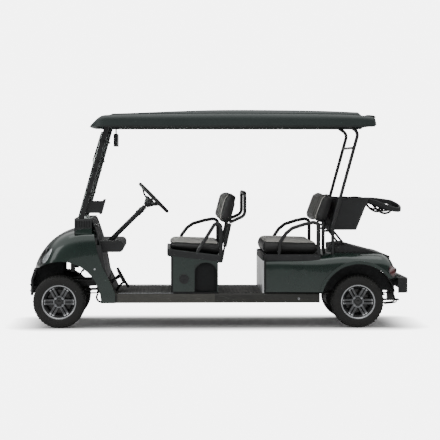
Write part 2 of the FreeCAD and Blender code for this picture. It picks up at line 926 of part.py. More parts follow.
def make_tie_rod():
    x, half, z = tie_rod_place()
    eye_radius = float(S.tie_rod_end_diameter) / 2
    eye_height = eye_radius + float(S.tie_rod_drop) - float(S.seat_gap)
    rod = Part.makeCylinder(float(S.tie_rod_diameter) / 2, half * 2, Vector(x, -half, z), Y_AXIS)
    for share in SIDES.values():
        rod = rod.fuse(Part.makeCylinder(eye_radius, eye_height, Vector(x, share * half, z - eye_radius)))
    return feature("tie_rod", rod.removeSplitter())


# Chassis frame, springs and rear axle
def rail_tops():
    low = S.floor_height - S.floor_thickness
    return low, low + S.rail_kick


def make_chassis_frame():
    """Two rails that rise over both axles, joined by cross beams, with spring hangers and a tow plate."""
    low, high = rail_tops()
    front = X_NOSE + S.rail_end_setback
    front_kick = X_FRONT_AXLE + S.rail_front_kick_reach
    rear_kick = X_REAR_AXLE - S.rail_rear_kick_reach
    back = X_TAIL - S.rail_end_setback
    tops = [
        (front, high),
        (front_kick, high),
        (front_kick + S.rail_kick_run, low),
        (rear_kick - S.rail_kick_run, low),
        (rear_kick, high),
        (back, high),
    ]
    under = [(x, z - S.rail_height) for x, z in reversed(tops)]
    parts = []
    for side, share in SIDES.items():
        start = S.rail_spacing / 2 * share - S.rail_width / 2
        parts.append(profile_solid(f"rail_{side}", tops + under, start, S.rail_width))
    reach = HALF_BODY - S.sill_inset - S.sill_width
    stations = {
        "toe": X_COWL_BACK + S.cross_beam_width,
        "pod_front": X_POD + S.cross_beam_width,
        "pod_back": X_POD_BACK - S.cross_beam_width,
        "rear_front": X_REAR_BODY + S.cross_beam_width,
        "rear_back": rear_kick - S.rail_kick_run - S.cross_beam_width,
    }
    for name, x in stations.items():
        corner = (x - S.cross_beam_width / 2, -reach, low - S.cross_beam_height)
        parts.append(
            box(f"cross_beam_{name}", corner, S.cross_beam_width, reach * 2, S.cross_beam_height)
        )
    ties = {"nose": front, "over_axle": rear_kick, "tail": back - S.cross_beam_width}
    for name, x in ties.items():
        corner = (x, S.rail_spacing / -2, high - S.cross_beam_height)
        parts.append(
            box(f"cross_tie_{name}", corner, S.cross_beam_width, S.rail_spacing, S.cross_beam_height)
        )
    rail_under = high - S.rail_height
    beam_low = rail_under - S.hanger_thickness
    eye_top = S.spring_eye_height + S.spring_eye_diameter / 2
    for name, x, spacing in spring_eyes():
        near = x - S.spring_eye_diameter / 2
        outer = (spacing + S.spring_width) / 2
        beam = (near, -outer, beam_low)
        parts.append(
            box(f"spring_beam_{name}", beam, S.spring_eye_diameter, outer * 2, S.hanger_thickness)
        )
        for side, share in SIDES.items():
            corner = (near, spacing / 2 * share - S.spring_width / 2, eye_top)
            hanger = box(
                f"hanger_{name}_{side}", corner, S.spring_eye_diameter, S.spring_width, beam_low - eye_top
            )
            parts.append(hanger)
    parts.append(make_tow_plate(back, rail_under))
    return fuse("chassis_frame", parts)


def make_tow_plate(back, rail_under):
    """The drop plate under the tail tie and the flat tongue with its hole for the hitch pin."""
    half = S.hitch_plate_width / 2
    drop_corner = (back - S.hitch_plate_length / 2, -half, S.hitch_height)
    drop_height = rail_tops()[1] - S.cross_beam_height - S.hitch_height
    drop = box("hitch_drop", drop_corner, S.hitch_plate_length / 2, S.hitch_plate_width, drop_height)
    tongue_corner = (back - S.hitch_plate_length, -half, S.hitch_height)
    tongue_length = S.hitch_plate_length + S.hitch_tongue_reach
    tongue = box(
        "hitch_tongue", tongue_corner, tongue_length, S.hitch_plate_width, S.hitch_plate_thickness
    )
    whole = fuse("hitch_plates", [drop, tongue])
    hole = cylinder(
        "hitch_hole",
        (back + S.hitch_tongue_reach - S.hitch_hole_inset, 0, S.hitch_height),
        S.hitch_pin_diameter / 2,
        S.hitch_plate_thickness,
    )
    return cut("hitch_plate", whole, hole)


def spring_eyes():
    """Name, place and spacing of each spring eye."""
    return [
        ("front_front", X_FRONT_AXLE - S.spring_front_reach, S.front_spring_spacing),
        ("front_rear", X_FRONT_AXLE + S.spring_rear_reach, S.front_spring_spacing),
        ("rear_front", X_REAR_AXLE - S.spring_rear_reach, S.rear_spring_spacing),
        ("rear_rear", X_REAR_AXLE + S.spring_rear_reach, S.rear_spring_spacing),
    ]


def spring_pack(axle, seat, front, rear, middle):
    """Three leaves, each a shallow arc between its ends and the axle seat, and the two rolled eyes."""
    leaf = float(S.spring_leaf)
    width = float(S.spring_width)
    eye = float(S.spring_eye_diameter) / 2
    height = float(S.spring_eye_height)
    start = middle - width / 2
    pack = None
    for number, share in enumerate(SPRING_LEAF_SHARES):
        top = seat + leaf * (number + 1)
        rise = (height - eye + leaf - seat - leaf * len(SPRING_LEAF_SHARES)) * share**2
        ends = [
            Vector(axle - (axle - front) * share, start, top + rise),
            Vector(axle + (rear - axle) * share, start, top + rise),
        ]
        centre = Vector(axle, start, top)
        down = Vector(0, 0, -leaf)
        upper = leaf_edge(ends[0], centre, ends[1])
        lower = leaf_edge(ends[0] + down, centre + down, ends[1] + down)
        sides = [
            Part.LineSegment(ends[0], ends[0] + down).toShape(),
            Part.LineSegment(ends[1], ends[1] + down).toShape(),
        ]
        face = Part.Face(Part.Wire(Part.__sortEdges__([upper, lower] + sides)))
        blade = face.extrude(Vector(0, width, 0))
        pack = blade if pack is None else pack.fuse(blade)
    for x in (front, rear):
        pack = pack.fuse(Part.makeCylinder(eye, width, Vector(x, start, height), Y_AXIS))
    return pack.removeSplitter()


def leaf_edge(first, centre, last):
    """A parabola-like curve through the two ends, flat over the axle."""
    curve = Part.BSplineCurve()
    curve.interpolate([first, centre, last])
    return curve.toShape()


SPRING_LEAF_SHARES = (0.5, 0.75, 1.0)


def make_leaf_springs():
    packs = []
    front_seat = float(Z_AXLE + S.axle_beam_diameter / 2 + S.spring_seat_rise + S.skin_gap)
    rear_seat = float(Z_AXLE + S.rear_axle_diameter / 2 + S.spring_seat_rise + S.skin_gap)
    eyes = {name: float(x) for name, x, spacing in spring_eyes()}
    for share in SIDES.values():
        middle = float(S.front_spring_spacing) / 2 * share
        front_eyes = (eyes["front_front"], eyes["front_rear"])
        packs.append(spring_pack(float(X_FRONT_AXLE), front_seat, *front_eyes, middle))
        middle = float(S.rear_spring_spacing) / 2 * share
        rear_eyes = (eyes["rear_front"], eyes["rear_rear"])
        packs.append(spring_pack(float(X_REAR_AXLE), rear_seat, *rear_eyes, middle))
    return feature("leaf_springs", Part.makeCompound(packs))


def make_rear_axle():
    """Axle tube with its stub shafts, differential, drive motor and spring seats."""
    half = S.rear_track / 2 - S.rim_width / 2
    tube_base = (X_REAR_AXLE, -half, Z_AXLE)
    casing = cylinder("rear_tube", tube_base, S.rear_axle_diameter / 2, half * 2, Y_AXIS)
    stub_half = S.rear_track / 2 + S.spindle_reach - S.rim_well_depth - S.spindle_play
    stub_base = (X_REAR_AXLE, -stub_half, Z_AXLE)
    stub = cylinder("rear_stub_shafts", stub_base, S.spindle_diameter / 2, stub_half * 2, Y_AXIS)
    case_base = (X_REAR_AXLE, S.differential_width / -2, Z_AXLE)
    case_radius = S.differential_diameter / 2
    differential = cylinder("differential", case_base, case_radius, S.differential_width, Y_AXIS)
    motor_base = (X_REAR_AXLE - S.motor_offset, S.motor_length / -2, Z_AXLE)
    motor = cylinder("motor", motor_base, S.motor_diameter / 2, S.motor_length, Y_AXIS)
    parts = [casing, stub, differential, motor]
    for side, share in SIDES.items():
        seat = (
            X_REAR_AXLE - S.spring_width / 2,
            S.rear_spring_spacing / 2 * share - S.spring_width / 2,
            Z_AXLE,
        )
        rise = S.rear_axle_diameter / 2 + S.spring_seat_rise
        parts.append(box(f"rear_spring_seat_{side}", seat, S.spring_width, S.spring_width, rise))
    return fuse("rear_axle", parts)


# Floor, sills, pedals
def make_floor():
    """The floor pan with its toe board turned up at the front."""
    top = S.floor_height
    under = top - S.floor_thickness
    front = X_COWL_BACK
    toe = front - S.toe_board_run
    back = X_REAR_BODY + S.floor_rear_reach
    half = HALF_BODY - S.sill_inset - S.sill_width
    corners = [
        (front - S.floor_thickness, under),
        (back, under),
        (back, top),
        (front, top),
        (toe, top + S.toe_board_rise),
        (toe - S.floor_thickness, top + S.toe_board_rise),
    ]
    return profile_solid("floor_panel", corners, -half, half * 2)


def make_sills():
    """Rocker panels along both sides of the floor, between the wheel arches."""
    low = S.sill_bottom_height
    front = X_COWL_BACK - S.sill_front_reach
    back = X_REAR_AXLE + S.rear_arch_offset - S.rear_arch_radius - S.sill_end_gap
    outer = HALF_BODY - S.sill_inset
    solids = []
    for share in SIDES.values():
        near = outer * share if share == LEFT_SHARE else outer - S.sill_width
        bar = block((front, near, low), (back, near + S.sill_width, S.sill_top_height))
        solids.append(round_edges(bar, X_AXIS, S.sill_corner_radius, None))
    return feature("sills", Part.makeCompound(solids))


def round_edges(shape, way, radius, test):
    """Round the straight edges that run along one way and pass a test of their middle."""
    edges = []
    for edge in shape.Edges:
        if len(edge.Vertexes) != 2:
            continue
        run = edge.Vertexes[1].Point - edge.Vertexes[0].Point
        if run.cross(way).Length > run.Length / 100:
            continue
        if test is None or test(edge.CenterOfMass):
            edges.append(edge)
    return shape.makeFillet(float(radius), edges)


def make_pedals():
    """Brake and accelerator pads, each on an arm that comes out of the sloping toe board."""
    rise = S.toe_board_rise * S.pedal_foot_share
    run = S.toe_board_run * S.pedal_foot_share
    slope = prism(
        [
            (X_COWL_BACK + S.seat_gap, 0),
            (X_COWL_BACK + S.seat_gap, S.floor_height),
            (X_COWL_BACK + S.seat_gap - S.toe_board_run, S.floor_height + S.toe_board_rise),
            (X_COWL, S.floor_height + S.toe_board_rise),
            (X_COWL, 0),
        ],
        -HALF_BODY,
        HALF_BODY * 2,
    )
    solids = []
    for number in range(PEDAL_COUNT):
        y = -S.steering_wheel_offset + S.pedal_spacing * (number - PEDAL_MIDDLE_SHARE)
        start = point(X_COWL_BACK - run - S.pedal_thickness, y, S.floor_height + rise)
        end = start + point(S.pedal_reach, 0, S.pedal_reach / 2)
        arm = tube([start, end], S.pedal_arm_diameter / 2).cut(slope)
        plate = block(
            (-S.pedal_thickness / 2, -S.pedal_width / 2, -S.pedal_height / 2),
            (S.pedal_thickness / 2, S.pedal_width / 2, S.pedal_height / 2),
        )
        plate.rotate(Vector(), Y_AXIS, -float(S.pedal_lean))
        plate.translate(end)
        solids.append(arm.fuse(plate))
    return feature("pedals", Part.makeCompound(solids))


PEDAL_COUNT = 2
PEDAL_MIDDLE_SHARE = 0.5


# Front cowl: the shares give each cross-section's place, height, width and squareness
COWL_GUIDE_SHARES = (
    (0.0, 0.84, 0.0),
    (0.067, 0.87, 0.2),
    (0.161, 0.905, 0.37),
    (0.378, 0.955, 0.656),
    (0.647, 0.985, 0.87),
    (1.0, 1.0, 0.995),
    (1.5, 1.0, 1.0),
    (2.0, 1.0, 1.0),
)
COWL_POWERS = (3.4, 12.0)
ARCH_LIP_SHARE = 0.97
FLANK_EDGE_SHARES = ((0.0, 1.3), (0.07, 1.0), (0.36, 0.51), (0.72, 0.22), (1.0, 0.0))


def cowl_rows(inset=0.0):
    """The cowl's cross-sections from the nose to its back edge, inset evenly if asked."""
    low = float(S.sill_bottom_height)
    nose = float(S.cowl_nose_height)
    top = float(S.cowl_top_height)
    run = float(S.cowl_length) / COWL_GUIDE_SHARES[-1][0]
    guide = []
    for along, across, up in COWL_GUIDE_SHARES:
        x = float(X_COWL) + run * along
        guide.append((x, float(HALF_BODY) * across - inset, nose + (top - nose) * up - inset))
    return guided_rows(guide, low, COWL_POWERS, (float(S.cowl_nose_bow), 0.0))


def cowl_back_form(inset):
    """The closed inside or outside form of the back stretch of the cowl."""
    return closed_form(cowl_rows(inset)[GUIDE_ROWS // 2:])


def make_cowl(lamps):
    """The one-piece front cowl: a thin skin trimmed to its wheel arches and swept flanks."""
    skin = walled_skin(cowl_rows(), S.cowl_wall)
    arch_x = X_FRONT_AXLE + S.front_arch_offset
    start = point(arch_x, -HALF_BODY - S.overrun, Z_AXLE)
    width = float(HALF_BODY + S.overrun) * 2
    arch = Part.makeCylinder(S.front_arch_radius, width, start, Y_AXIS)
    lip = S.cowl_lip_height
    under_nose = prism(
        [
            (X_NOSE - S.overrun, 0),
            (X_NOSE - S.overrun, lip),
            (X_COWL, lip),
            (arch_x, Z_AXLE + S.front_arch_radius * ARCH_LIP_SHARE),
            (arch_x, 0),
        ],
        -HALF_BODY - S.overrun,
        width,
    )
    behind = flank_trim(width)
    shape = skin.cut([arch, under_nose, behind] + lamps)
    return feature("front_cowl", biggest(shape))


def cap_back():
    return X_SHOULDER + S.cap_length + S.cap_setback


def flank_trim(width):
    """Everything behind the swept rear edge of the cowl's flanks."""
    back = X_COWL_BACK - cap_back()
    rise = S.cowl_top_height - S.floor_height
    spots = []
    for run, up in FLANK_EDGE_SHARES:
        x = cap_back() + back * run
        spots.append(point(x, -HALF_BODY - S.overrun, S.floor_height + rise * up))
    curve = Part.BSplineCurve()
    curve.interpolate(spots)
    far = point(X_COWL_BACK + S.overrun, -HALF_BODY - S.overrun, spots[0].z)
    base = Vector(far.x, far.y, spots[-1].z)
    edges = [curve.toShape()]
    for a, b in ((spots[-1], base), (base, far), (far, spots[0])):
        edges.append(Part.LineSegment(a, b).toShape())
    return Part.Face(Part.Wire(edges)).extrude(Vector(0, width, 0))


def biggest(shape):
    """The largest solid of a cut, without loose offcuts."""
    return max(shape.Solids, key=lambda solid: solid.Volume)


def skin_lamp(surface, target, size, gap):
    """A lens-shaped lamp let into a skin where it comes nearest the target, turned to face out."""
    u, v = surface.parameter(target)
    normal = surface.normal(u, v)
    along = surface.tangent(u, v)[0]
    ball = Part.makeSphere(1)
    stretch = FreeCAD.Matrix()
    stretch.scale(*(float(part) / 2 + gap for part in size))
    lens = ball.transformGeometry(stretch)
    lens.Placement = Placement(surface.value(u, v), Rotation(along, Vector(), normal, "ZXY"))
    return lens


def headlamps(gap):
    size = (S.lamp_length, S.lamp_width, S.lamp_depth)
    surface = skin_surface(cowl_rows())
    targets = [
        point(X_NOSE + S.lamp_setback, S.lamp_half_spacing * share, S.lamp_height)
        for share in SIDES.values()
    ]
    return [skin_lamp(surface, target, size, gap) for target in targets]


def make_cap():
    """The black cap that closes the top of the cowl and carries the windshield posts."""
    half = HALF_BODY - S.cap_side_inset
    low = S.cowl_top_height - S.cap_skirt
    front = X_SHOULDER + S.cap_setback
    body = block((front, -half, low), (cap_back(), half, S.cap_height))
    body = round_edges(body, X_AXIS, S.cap_corner_radius, lambda spot: spot.z > float(S.cowl_top_height))
    return feature("cowl_cap", biggest(body.cut(cowl_back_form(-float(S.skin_gap)))))


DASH_CURVE_SHARES = ((0.0, 0.97), (0.5, 0.61), (0.72, 0.38), (1.0, 0.0))


def toe_board_top():
    return X_COWL_BACK - S.toe_board_run - S.floor_thickness, S.floor_height + S.toe_board_rise


def dash_curve(start, shift):
    """The dash panel's side outline, from the cap down to the toe board, shifted towards the seat."""
    foot_x, foot_z = toe_board_top()
    top_x = cap_back() + S.seat_gap
    spots = []
    for run, up in DASH_CURVE_SHARES:
        x = top_x + (foot_x - top_x) * run + shift
        z = foot_z + S.seat_gap + (S.cap_height - foot_z) * up
        spots.append(point(x, start, z))
    curve = Part.BSplineCurve()
    curve.interpolate(spots)
    return curve.toShape(), spots


def curved_sheet(front, back, width):
    """The sheet between two like curves, carried across the cart."""
    first, first_spots = front
    second, second_spots = back
    edges = [first, second]
    for a, b in ((first_spots[0], second_spots[0]), (first_spots[-1], second_spots[-1])):
        edges.append(Part.LineSegment(a, b).toShape())
    return Part.Face(Part.Wire(Part.__sortEdges__(edges))).extrude(Vector(0, float(width), 0))


def shelf_block():
    """The tray shelf under the steering wheel."""
    half = HALF_BODY - S.shelf_side_inset
    front = cap_back() + S.shelf_setback
    top = S.shelf_bottom_height + S.shelf_height
    body = block((front, -half, S.shelf_bottom_height), (front + S.shelf_depth, half, top))
    edge = float(front + S.shelf_depth)
    return round_edges(body, Y_AXIS, S.shelf_corner_radius, lambda spot: spot.x > edge - float(S.overrun))


def make_dash():
    """The inner panel that closes the cowl towards the driver, its side returns and its tray shelf."""
    half = HALF_BODY - S.cowl_wall - S.skin_gap
    sheet = curved_sheet(dash_curve(-half, 0), dash_curve(-half, S.dash_panel_thickness), half * 2)
    foot_z = toe_board_top()[1]
    tip = cap_back() + S.seat_gap
    solids = [sheet]
    for share in SIDES.values():
        near = -half if share == LEFT_SHARE else half - S.dash_panel_thickness
        curve, spots = dash_curve(near, 0)
        low = point(tip, near, foot_z + S.seat_gap)
        edges = [curve]
        for a, b in ((spots[-1], low), (low, spots[0])):
            edges.append(Part.LineSegment(a, b).toShape())
        face = Part.Face(Part.Wire(Part.__sortEdges__(edges)))
        solids.append(face.extrude(Vector(0, float(S.dash_panel_thickness), 0)))
    pan = solids[0].fuse(solids[1:])
    upper_half = half - S.cap_side_inset
    upper = block(
        (tip, -upper_half, S.cowl_top_height - S.cap_skirt),
        (X_COWL_BACK, upper_half, S.cap_height),
    )
    room = cowl_back_form(float(S.cowl_wall + S.skin_gap)).fuse(upper)
    return feature("dash_panel", biggest(pan.common(room).fuse(shelf_block()).removeSplitter()))


def make_bumper():
    """The front bumper: a curved bar in plan that leans back at its top."""
    half = S.bumper_width / 2
    low, high = S.bumper_bottom_height, S.bumper_bottom_height + S.bumper_height
    outer_ends = [point(X_NOSE + S.bumper_bow, half * share, low) for share in (LEFT_SHARE, RIGHT_SHARE)]
    outer = Part.Arc(outer_ends[0], point(X_NOSE, 0, low), outer_ends[1]).toShape()
    step = point(S.bumper_thickness, 0, 0)
    inner = Part.Arc(outer_ends[0] + step, point(X_NOSE + S.bumper_thickness, 0, low), outer_ends[1] + step)
    sides = [Part.LineSegment(end, end + step).toShape() for end in outer_ends]
    face = Part.Face(Part.Wire(Part.__sortEdges__([outer, inner.toShape()] + sides)))
    upright = face.extrude(point(0, 0, S.bumper_height * BUMPER_UPRIGHT_SHARE))
    top = face.translated(point(0, 0, S.bumper_height * BUMPER_UPRIGHT_SHARE))
    leaning = top.extrude(point(S.bumper_lean, 0, S.bumper_height * (1 - BUMPER_UPRIGHT_SHARE)))
    bar = upright.fuse(leaning)
    for share in SIDES.values():
        near = S.rail_spacing / 2 * share - S.rail_width / 2
        rail_low = rail_tops()[1] - S.rail_height
        reach = X_NOSE + S.rail_end_setback
        low_corner = (X_NOSE + S.bumper_thickness, near, rail_low)
        arm = block(low_corner, (reach, near + S.rail_width, rail_low + S.rail_height))
        bar = bar.fuse(arm)
    return feature("front_bumper", bar.removeSplitter())


BUMPER_UPRIGHT_SHARE = 0.6


# Front posts, windshield, mirror and display
def post_line(height):
    """Where the middle of a windshield post lies at a height."""
    foot = X_SHOULDER + S.cap_setback + S.strut_foot_setback
    rise = S.roof_seat_height - S.cap_height
    return foot + S.strut_top_run * ((height - S.cap_height) / rise)


def make_front_struts():
    """Two leaning posts of oblong tube from the cowl cap to the roof ribs."""
    low, high = S.cap_height, S.roof_seat_height
    half = S.strut_depth / 2
    solids = []
    for share in SIDES.values():
        near = S.strut_half_spacing * share - S.strut_width / 2
        corners = [(post_line(z) + half * way, z) for z, way in ((low, -1), (low, 1), (high, 1), (high, -1))]
        solids.append(prism(corners, near, S.strut_width))
    return feature("front_struts", Part.makeCompound(solids))


def pane_place(height):
    """The back face of the windshield at a height, ahead of the posts."""
    return post_line(height) - S.strut_depth / 2 - S.pane_stand_off


def make_pane(low, high):
    """One acrylic pane, leaning with the posts."""
    half = S.strut_half_spacing + S.strut_width / 2 - S.pane_side_inset
    back = [(pane_place(low), low), (pane_place(high), high)]
    front = [(x - S.pane_thickness, z) for x, z in reversed(back)]
    return prism(back + front, -half, half * 2)


def pane_rest(low, high, share):
    """A rubber rest between a pane and a post."""
    near = S.strut_half_spacing * share - S.strut_width / 2
    post = [(post_line(z) - S.strut_depth / 2, z) for z in (low, high)]
    pane = [(pane_place(z), z) for z in (high, low)]
    return prism(post + pane, near, S.strut_width)


def make_windshield_lower():
    """The fixed lower pane with the rubber rests that hold it to the posts."""
    low = S.cap_height + S.pane_foot_gap
    high = S.pane_split_height - S.pane_seam / 2
    pane = make_pane(low, high)
    for share in SIDES.values():
        pane = pane.fuse(pane_rest(low, high, share))
        pane = pane.fuse(hinge_lug(high, share))
    return feature("windshield_lower", pane.removeSplitter())


def pane_hinge():
    """The axis that the upper pane folds about, just ahead of the seam."""
    z = S.pane_split_height
    return pane_place(z) - S.pane_thickness - S.pane_hinge_diameter / 2 - S.pane_hinge_gap, z


def hinge_half():
    """Half the length of the folding pane's hinge barrel."""
    return S.strut_half_spacing - S.strut_width * 2


def hinge_lug(high, share):
    """The fixed end of the hinge: a short barrel in line with the folding pane's, and its strap."""
    x, z = pane_hinge()
    radius = S.pane_hinge_diameter / 2
    start = hinge_half() + S.seat_gap
    near = start if share == RIGHT_SHARE else -start - S.hinge_lug_length
    barrel = Part.makeCylinder(radius, S.hinge_lug_length, point(x, near, z), Y_AXIS)
    reach = high - S.pane_hinge_strap
    strap = [
        (x - radius, z),
        (x + radius, z),
        (pane_place(high) - S.pane_thickness, high),
        (pane_place(reach) - S.pane_thickness, reach),
    ]
    return barrel.fuse(prism(strap, near, S.hinge_lug_length))


def make_windshield_upper():
    """The folding upper pane with its hinge barrel and two straps."""
    low = S.pane_split_height + S.pane_seam / 2
    pane = make_pane(low, S.pane_top_height)
    x, z = pane_hinge()
    radius = S.pane_hinge_diameter / 2
    half = hinge_half()
    barrel = Part.makeCylinder(radius, float(half) * 2, point(x, -half, z), Y_AXIS)
    reach = low + S.pane_hinge_strap
    strap = [
        (x - radius, z),
        (x + radius, z),
        (pane_place(low) - S.pane_thickness, low),
        (pane_place(reach) - S.pane_thickness, reach),
    ]
    return feature("windshield_upper", pane.fuse([barrel, prism(strap, -half, half * 2)]).removeSplitter())


def mirror_place():
    """Where the middle of the mirror and its stem lies, behind the top of the posts."""
    return post_line(S.roof_seat_height) + S.mirror_reach + S.mirror_depth / 2


def make_mirror():
    """A wide rear-view mirror on a stem from the roof rib line."""
    x = mirror_place() - S.mirror_depth / 2
    top = S.roof_seat_height - S.mirror_drop
    half = S.mirror_length / 2
    glass = block((x, -half, top - S.mirror_height), (x + S.mirror_depth, half, top))
    glass = round_edges(glass, X_AXIS, S.mirror_depth / 3, None)
    stem_length = S.mirror_drop - S.seat_gap
    stem = Part.makeCylinder(S.mirror_stem_diameter / 2, stem_length, point(mirror_place(), 0, top))
    return feature("mirror", glass.fuse(stem).removeSplitter())


def leaning_outline(low, high, near, far):
    """A side outline behind the windshield post that leans as it does."""
    return [
        (post_line(low) + near, low),
        (post_line(low) + far, low),
        (post_line(high) + far, high),
        (post_line(high) + near, high),
    ]


def make_display():
    """A screen beside the driver, on a bracket from the left windshield post."""
    z = S.display_centre_height
    post_y = -S.strut_half_spacing + S.strut_width / 2
    clear = S.strut_depth / 2 + S.seat_gap
    back = S.strut_depth / 2 + S.display_reach
    front = back - S.display_thickness
    middle = back - S.display_thickness / 2
    half = S.display_height / 2
    low, high = z - half, z + half
    screen = prism(leaning_outline(low, high, front, back), post_y, S.display_width)
    screen = round_edges(screen, X_AXIS, S.display_corner_radius, None)
    inset = S.display_corner_radius
    arm = prism(leaning_outline(low + inset, high - inset, clear, middle), post_y, S.display_bracket)
    return feature("display", screen.fuse(arm).removeSplitter())


# Steering wheel and column
def steering_axis():
    """The way up the steering column, and the middle of the wheel's rim."""
    angle = math.radians(float(S.steering_angle))
    way = Vector(math.cos(angle), 0, math.sin(angle))
    centre = point(X_FRONT_AXLE + S.steering_wheel_reach, -S.steering_wheel_offset, S.steering_wheel_height)
    return way, centre


def make_steering_wheel():
    """Rim, three spokes and a dished hub on the shaft that turns in the column."""
    way, centre = steering_axis()
    ring_radius = (float(S.steering_wheel_diameter) - float(S.steering_rim_diameter)) / 2
    bar = float(S.steering_rim_diameter) / 2
    hub_top = -float(S.steering_dish) + float(S.steering_hub_length) / 3
    hub_low = hub_top - float(S.steering_hub_length)
    hub_radius = float(S.steering_hub_diameter) / 2
    wheel = Part.makeTorus(ring_radius, bar)
    hub = Part.makeCone(float(S.column_diameter) / 2, hub_radius, hub_top - hub_low, Vector(0, 0, hub_low))
    shaft_base = Vector(0, 0, hub_low - float(S.shaft_length))
    shaft = Part.makeCylinder(float(S.shaft_diameter) / 2, float(S.shaft_length), shaft_base)
    spokes = []
    for number in range(WHEEL_SPOKES):
        turn = 2 * math.pi * number / WHEEL_SPOKES
        outward = Vector(math.cos(turn), math.sin(turn), 0)
        start = outward * (hub_radius / 2) + Vector(0, 0, hub_top - bar)
        spokes.append(tube([start, outward * ring_radius], bar * SPOKE_BAR_SHARE))
    wheel = wheel.fuse([hub, shaft] + spokes).removeSplitter()
    wheel.Placement = Placement(centre, Rotation(Z_AXIS, way))
    return feature("steering_wheel", wheel)


WHEEL_SPOKES = 3
SPOKE_BAR_SHARE = 0.75


def make_column():
    """The steering column tube, bored for the wheel's shaft and seated on the dash shelf."""
    way, centre = steering_axis()
    hub_low = -float(S.steering_dish) + float(S.steering_hub_length) / 3 - float(S.steering_hub_length)
    top = centre + way * (hub_low - float(S.column_gap))
    radius = float(S.column_diameter) / 2
    tube_body = Part.makeCylinder(radius, S.column_length, top, way * -1)
    bore_depth = float(S.shaft_length)
    bore = Part.makeCylinder(float(S.shaft_diameter) / 2 + float(S.spindle_play), bore_depth, top, way * -1)
    shape = tube_body.cut([bore, shelf_block(), block_under_shelf()])
    return feature("steering_column", biggest(shape))


def block_under_shelf():
    """All that lies below the top of the shelf."""
    half = HALF_BODY
    top = S.shelf_bottom_height + S.shelf_height
    return block((X_NOSE, -half, 0), (X_POD, half, top))


# Roof: the guide gives the share of the length, the half width and the rise at each place
ROOF_GUIDE_SHARES = (
    (0.0, 0.88, 0.08),
    (0.018, 0.94, 0.36),
    (0.04, 0.975, 0.6),
    (0.08, 0.99, 0.71),
    (0.2, 1.0, 0.86),
    (0.4, 1.0, 0.98),
    (0.55, 1.0, 1.0),
    (0.75, 1.0, 0.96),
    (0.9, 1.0, 0.85),
    (0.96, 0.985, 0.68),
    (0.99, 0.95, 0.42),
    (1.0, 0.92, 0.12),
)
ROOF_POWERS = (3.2, 3.2)


def roof_rows(inset=0.0):
    """The roof's cross-sections from the visor to the rear lip."""
    low = float(S.roof_edge_height)
    rise = float(S.roof_top_height) - low
    half = float(S.roof_width) / 2
    guide = []
    for along, across, up in ROOF_GUIDE_SHARES:
        x = float(X_NOSE + S.roof_front_setback) + float(S.roof_length) * along
        guide.append((x, half * across - inset, low + rise * up - inset))
    return guided_rows(guide, low, ROOF_POWERS, (float(S.roof_bow), -float(S.roof_bow)))


def rounded_rectangle(x0, x1, half, radius, z):
    """A rounded rectangle seen from above, always drawn from the same corner."""
    edges = []
    corners = [(x1, half, 0), (x0, half, 90), (x0, -half, 180), (x1, -half, 270)]
    middles = []
    for x, y, start in corners:
        cx = x - math.copysign(radius, x - (x0 + x1) / 2)
        cy = y - math.copysign(radius, y)
        middles.append((Vector(cx, cy, z), start))
    for number, (middle, start) in enumerate(middles):
        circle = Part.Circle(middle, Z_AXIS, radius)
        arc = circle.toShape(math.radians(start), math.radians(start + 90))
        edges.append(arc)
        after, turn = middles[(number + 1) % len(middles)]
        leave = arc.valueAt(arc.LastParameter)
        angle = math.radians(turn)
        entry = after + Vector(math.cos(angle), math.sin(angle), 0) * radius
        edges.append(Part.LineSegment(leave, entry).toShape())
    return Part.Wire(edges)


def make_roof():
    """The hollow roof canopy with the two ribs that stand on the posts."""
    solid = walled_skin(roof_rows(), S.roof_wall)
    room = closed_form(roof_rows())
    front = X_NOSE + S.roof_front_setback
    for share in SIDES.values():
        near = S.roof_rib_half_spacing * share - S.roof_rib_width / 2
        rib = block(
            (front + S.roof_rib_setback, near, S.roof_seat_height),
            (front + S.roof_length - S.roof_rib_setback, near + S.roof_rib_width, S.roof_top_height),
        )
        solid = solid.fuse(rib.common(room))
    header_x = mirror_place() - S.roof_rib_width / 2
    half = S.roof_rib_half_spacing
    header = block(
        (header_x, -half, S.roof_seat_height), (header_x + S.roof_rib_width, half, S.roof_top_height)
    )
    solid = solid.fuse(header.common(room))
    return feature("roof_canopy", biggest(solid.removeSplitter()))


def make_rear_struts():
    """Two bent tubes from the rear body to the roof ribs, with a cross tube between them."""
    radius = float(S.rear_strut_diameter) / 2
    foot = X_REAR_AXLE - S.rear_strut_foot_reach
    half = float(S.rear_strut_half_spacing)
    shape = None
    for share in SIDES.values():
        y = half * share
        lean = S.rear_strut_lean_run
        points = [
            point(foot, y, S.rear_body_low_height),
            point(foot, y, S.rear_strut_knee_height),
            point(foot + lean, y, S.rear_strut_shoulder_height),
            point(foot + lean - S.rear_strut_hook, y, S.roof_seat_height),
        ]
        post = tube(points, radius, S.rear_strut_bend)
        shape = post if shape is None else shape.fuse(post)
    knee = S.rear_strut_knee_height
    rise = (S.rear_cross_height - knee) / (S.rear_strut_shoulder_height - knee)
    cross_x = foot + S.rear_strut_lean_run * rise
    cross_end = point(cross_x, -half, S.rear_cross_height)
    cross = Part.makeCylinder(float(S.rear_cross_diameter) / 2, half * 2, cross_end, Y_AXIS)
    shape = shape.fuse(cross)
    top = block((X_NOSE, -HALF_BODY, S.roof_seat_height), (X_TAIL, HALF_BODY, S.roof_top_height))
    shape = shape.cut([top, rear_body_form(-float(S.skin_gap))])
    return feature("rear_struts", biggest(shape.removeSplitter()))


# Front seat
def tray_top(x):
    """The height of the sloping front seat tray at a place."""
    front, back = X_POD - S.tray_overhang_front, X_POD_BACK + S.tray_overhang_rear
    fall = S.tray_front_height - S.tray_rear_height
    return S.tray_front_height - fall * ((x - front) / float(back - front))


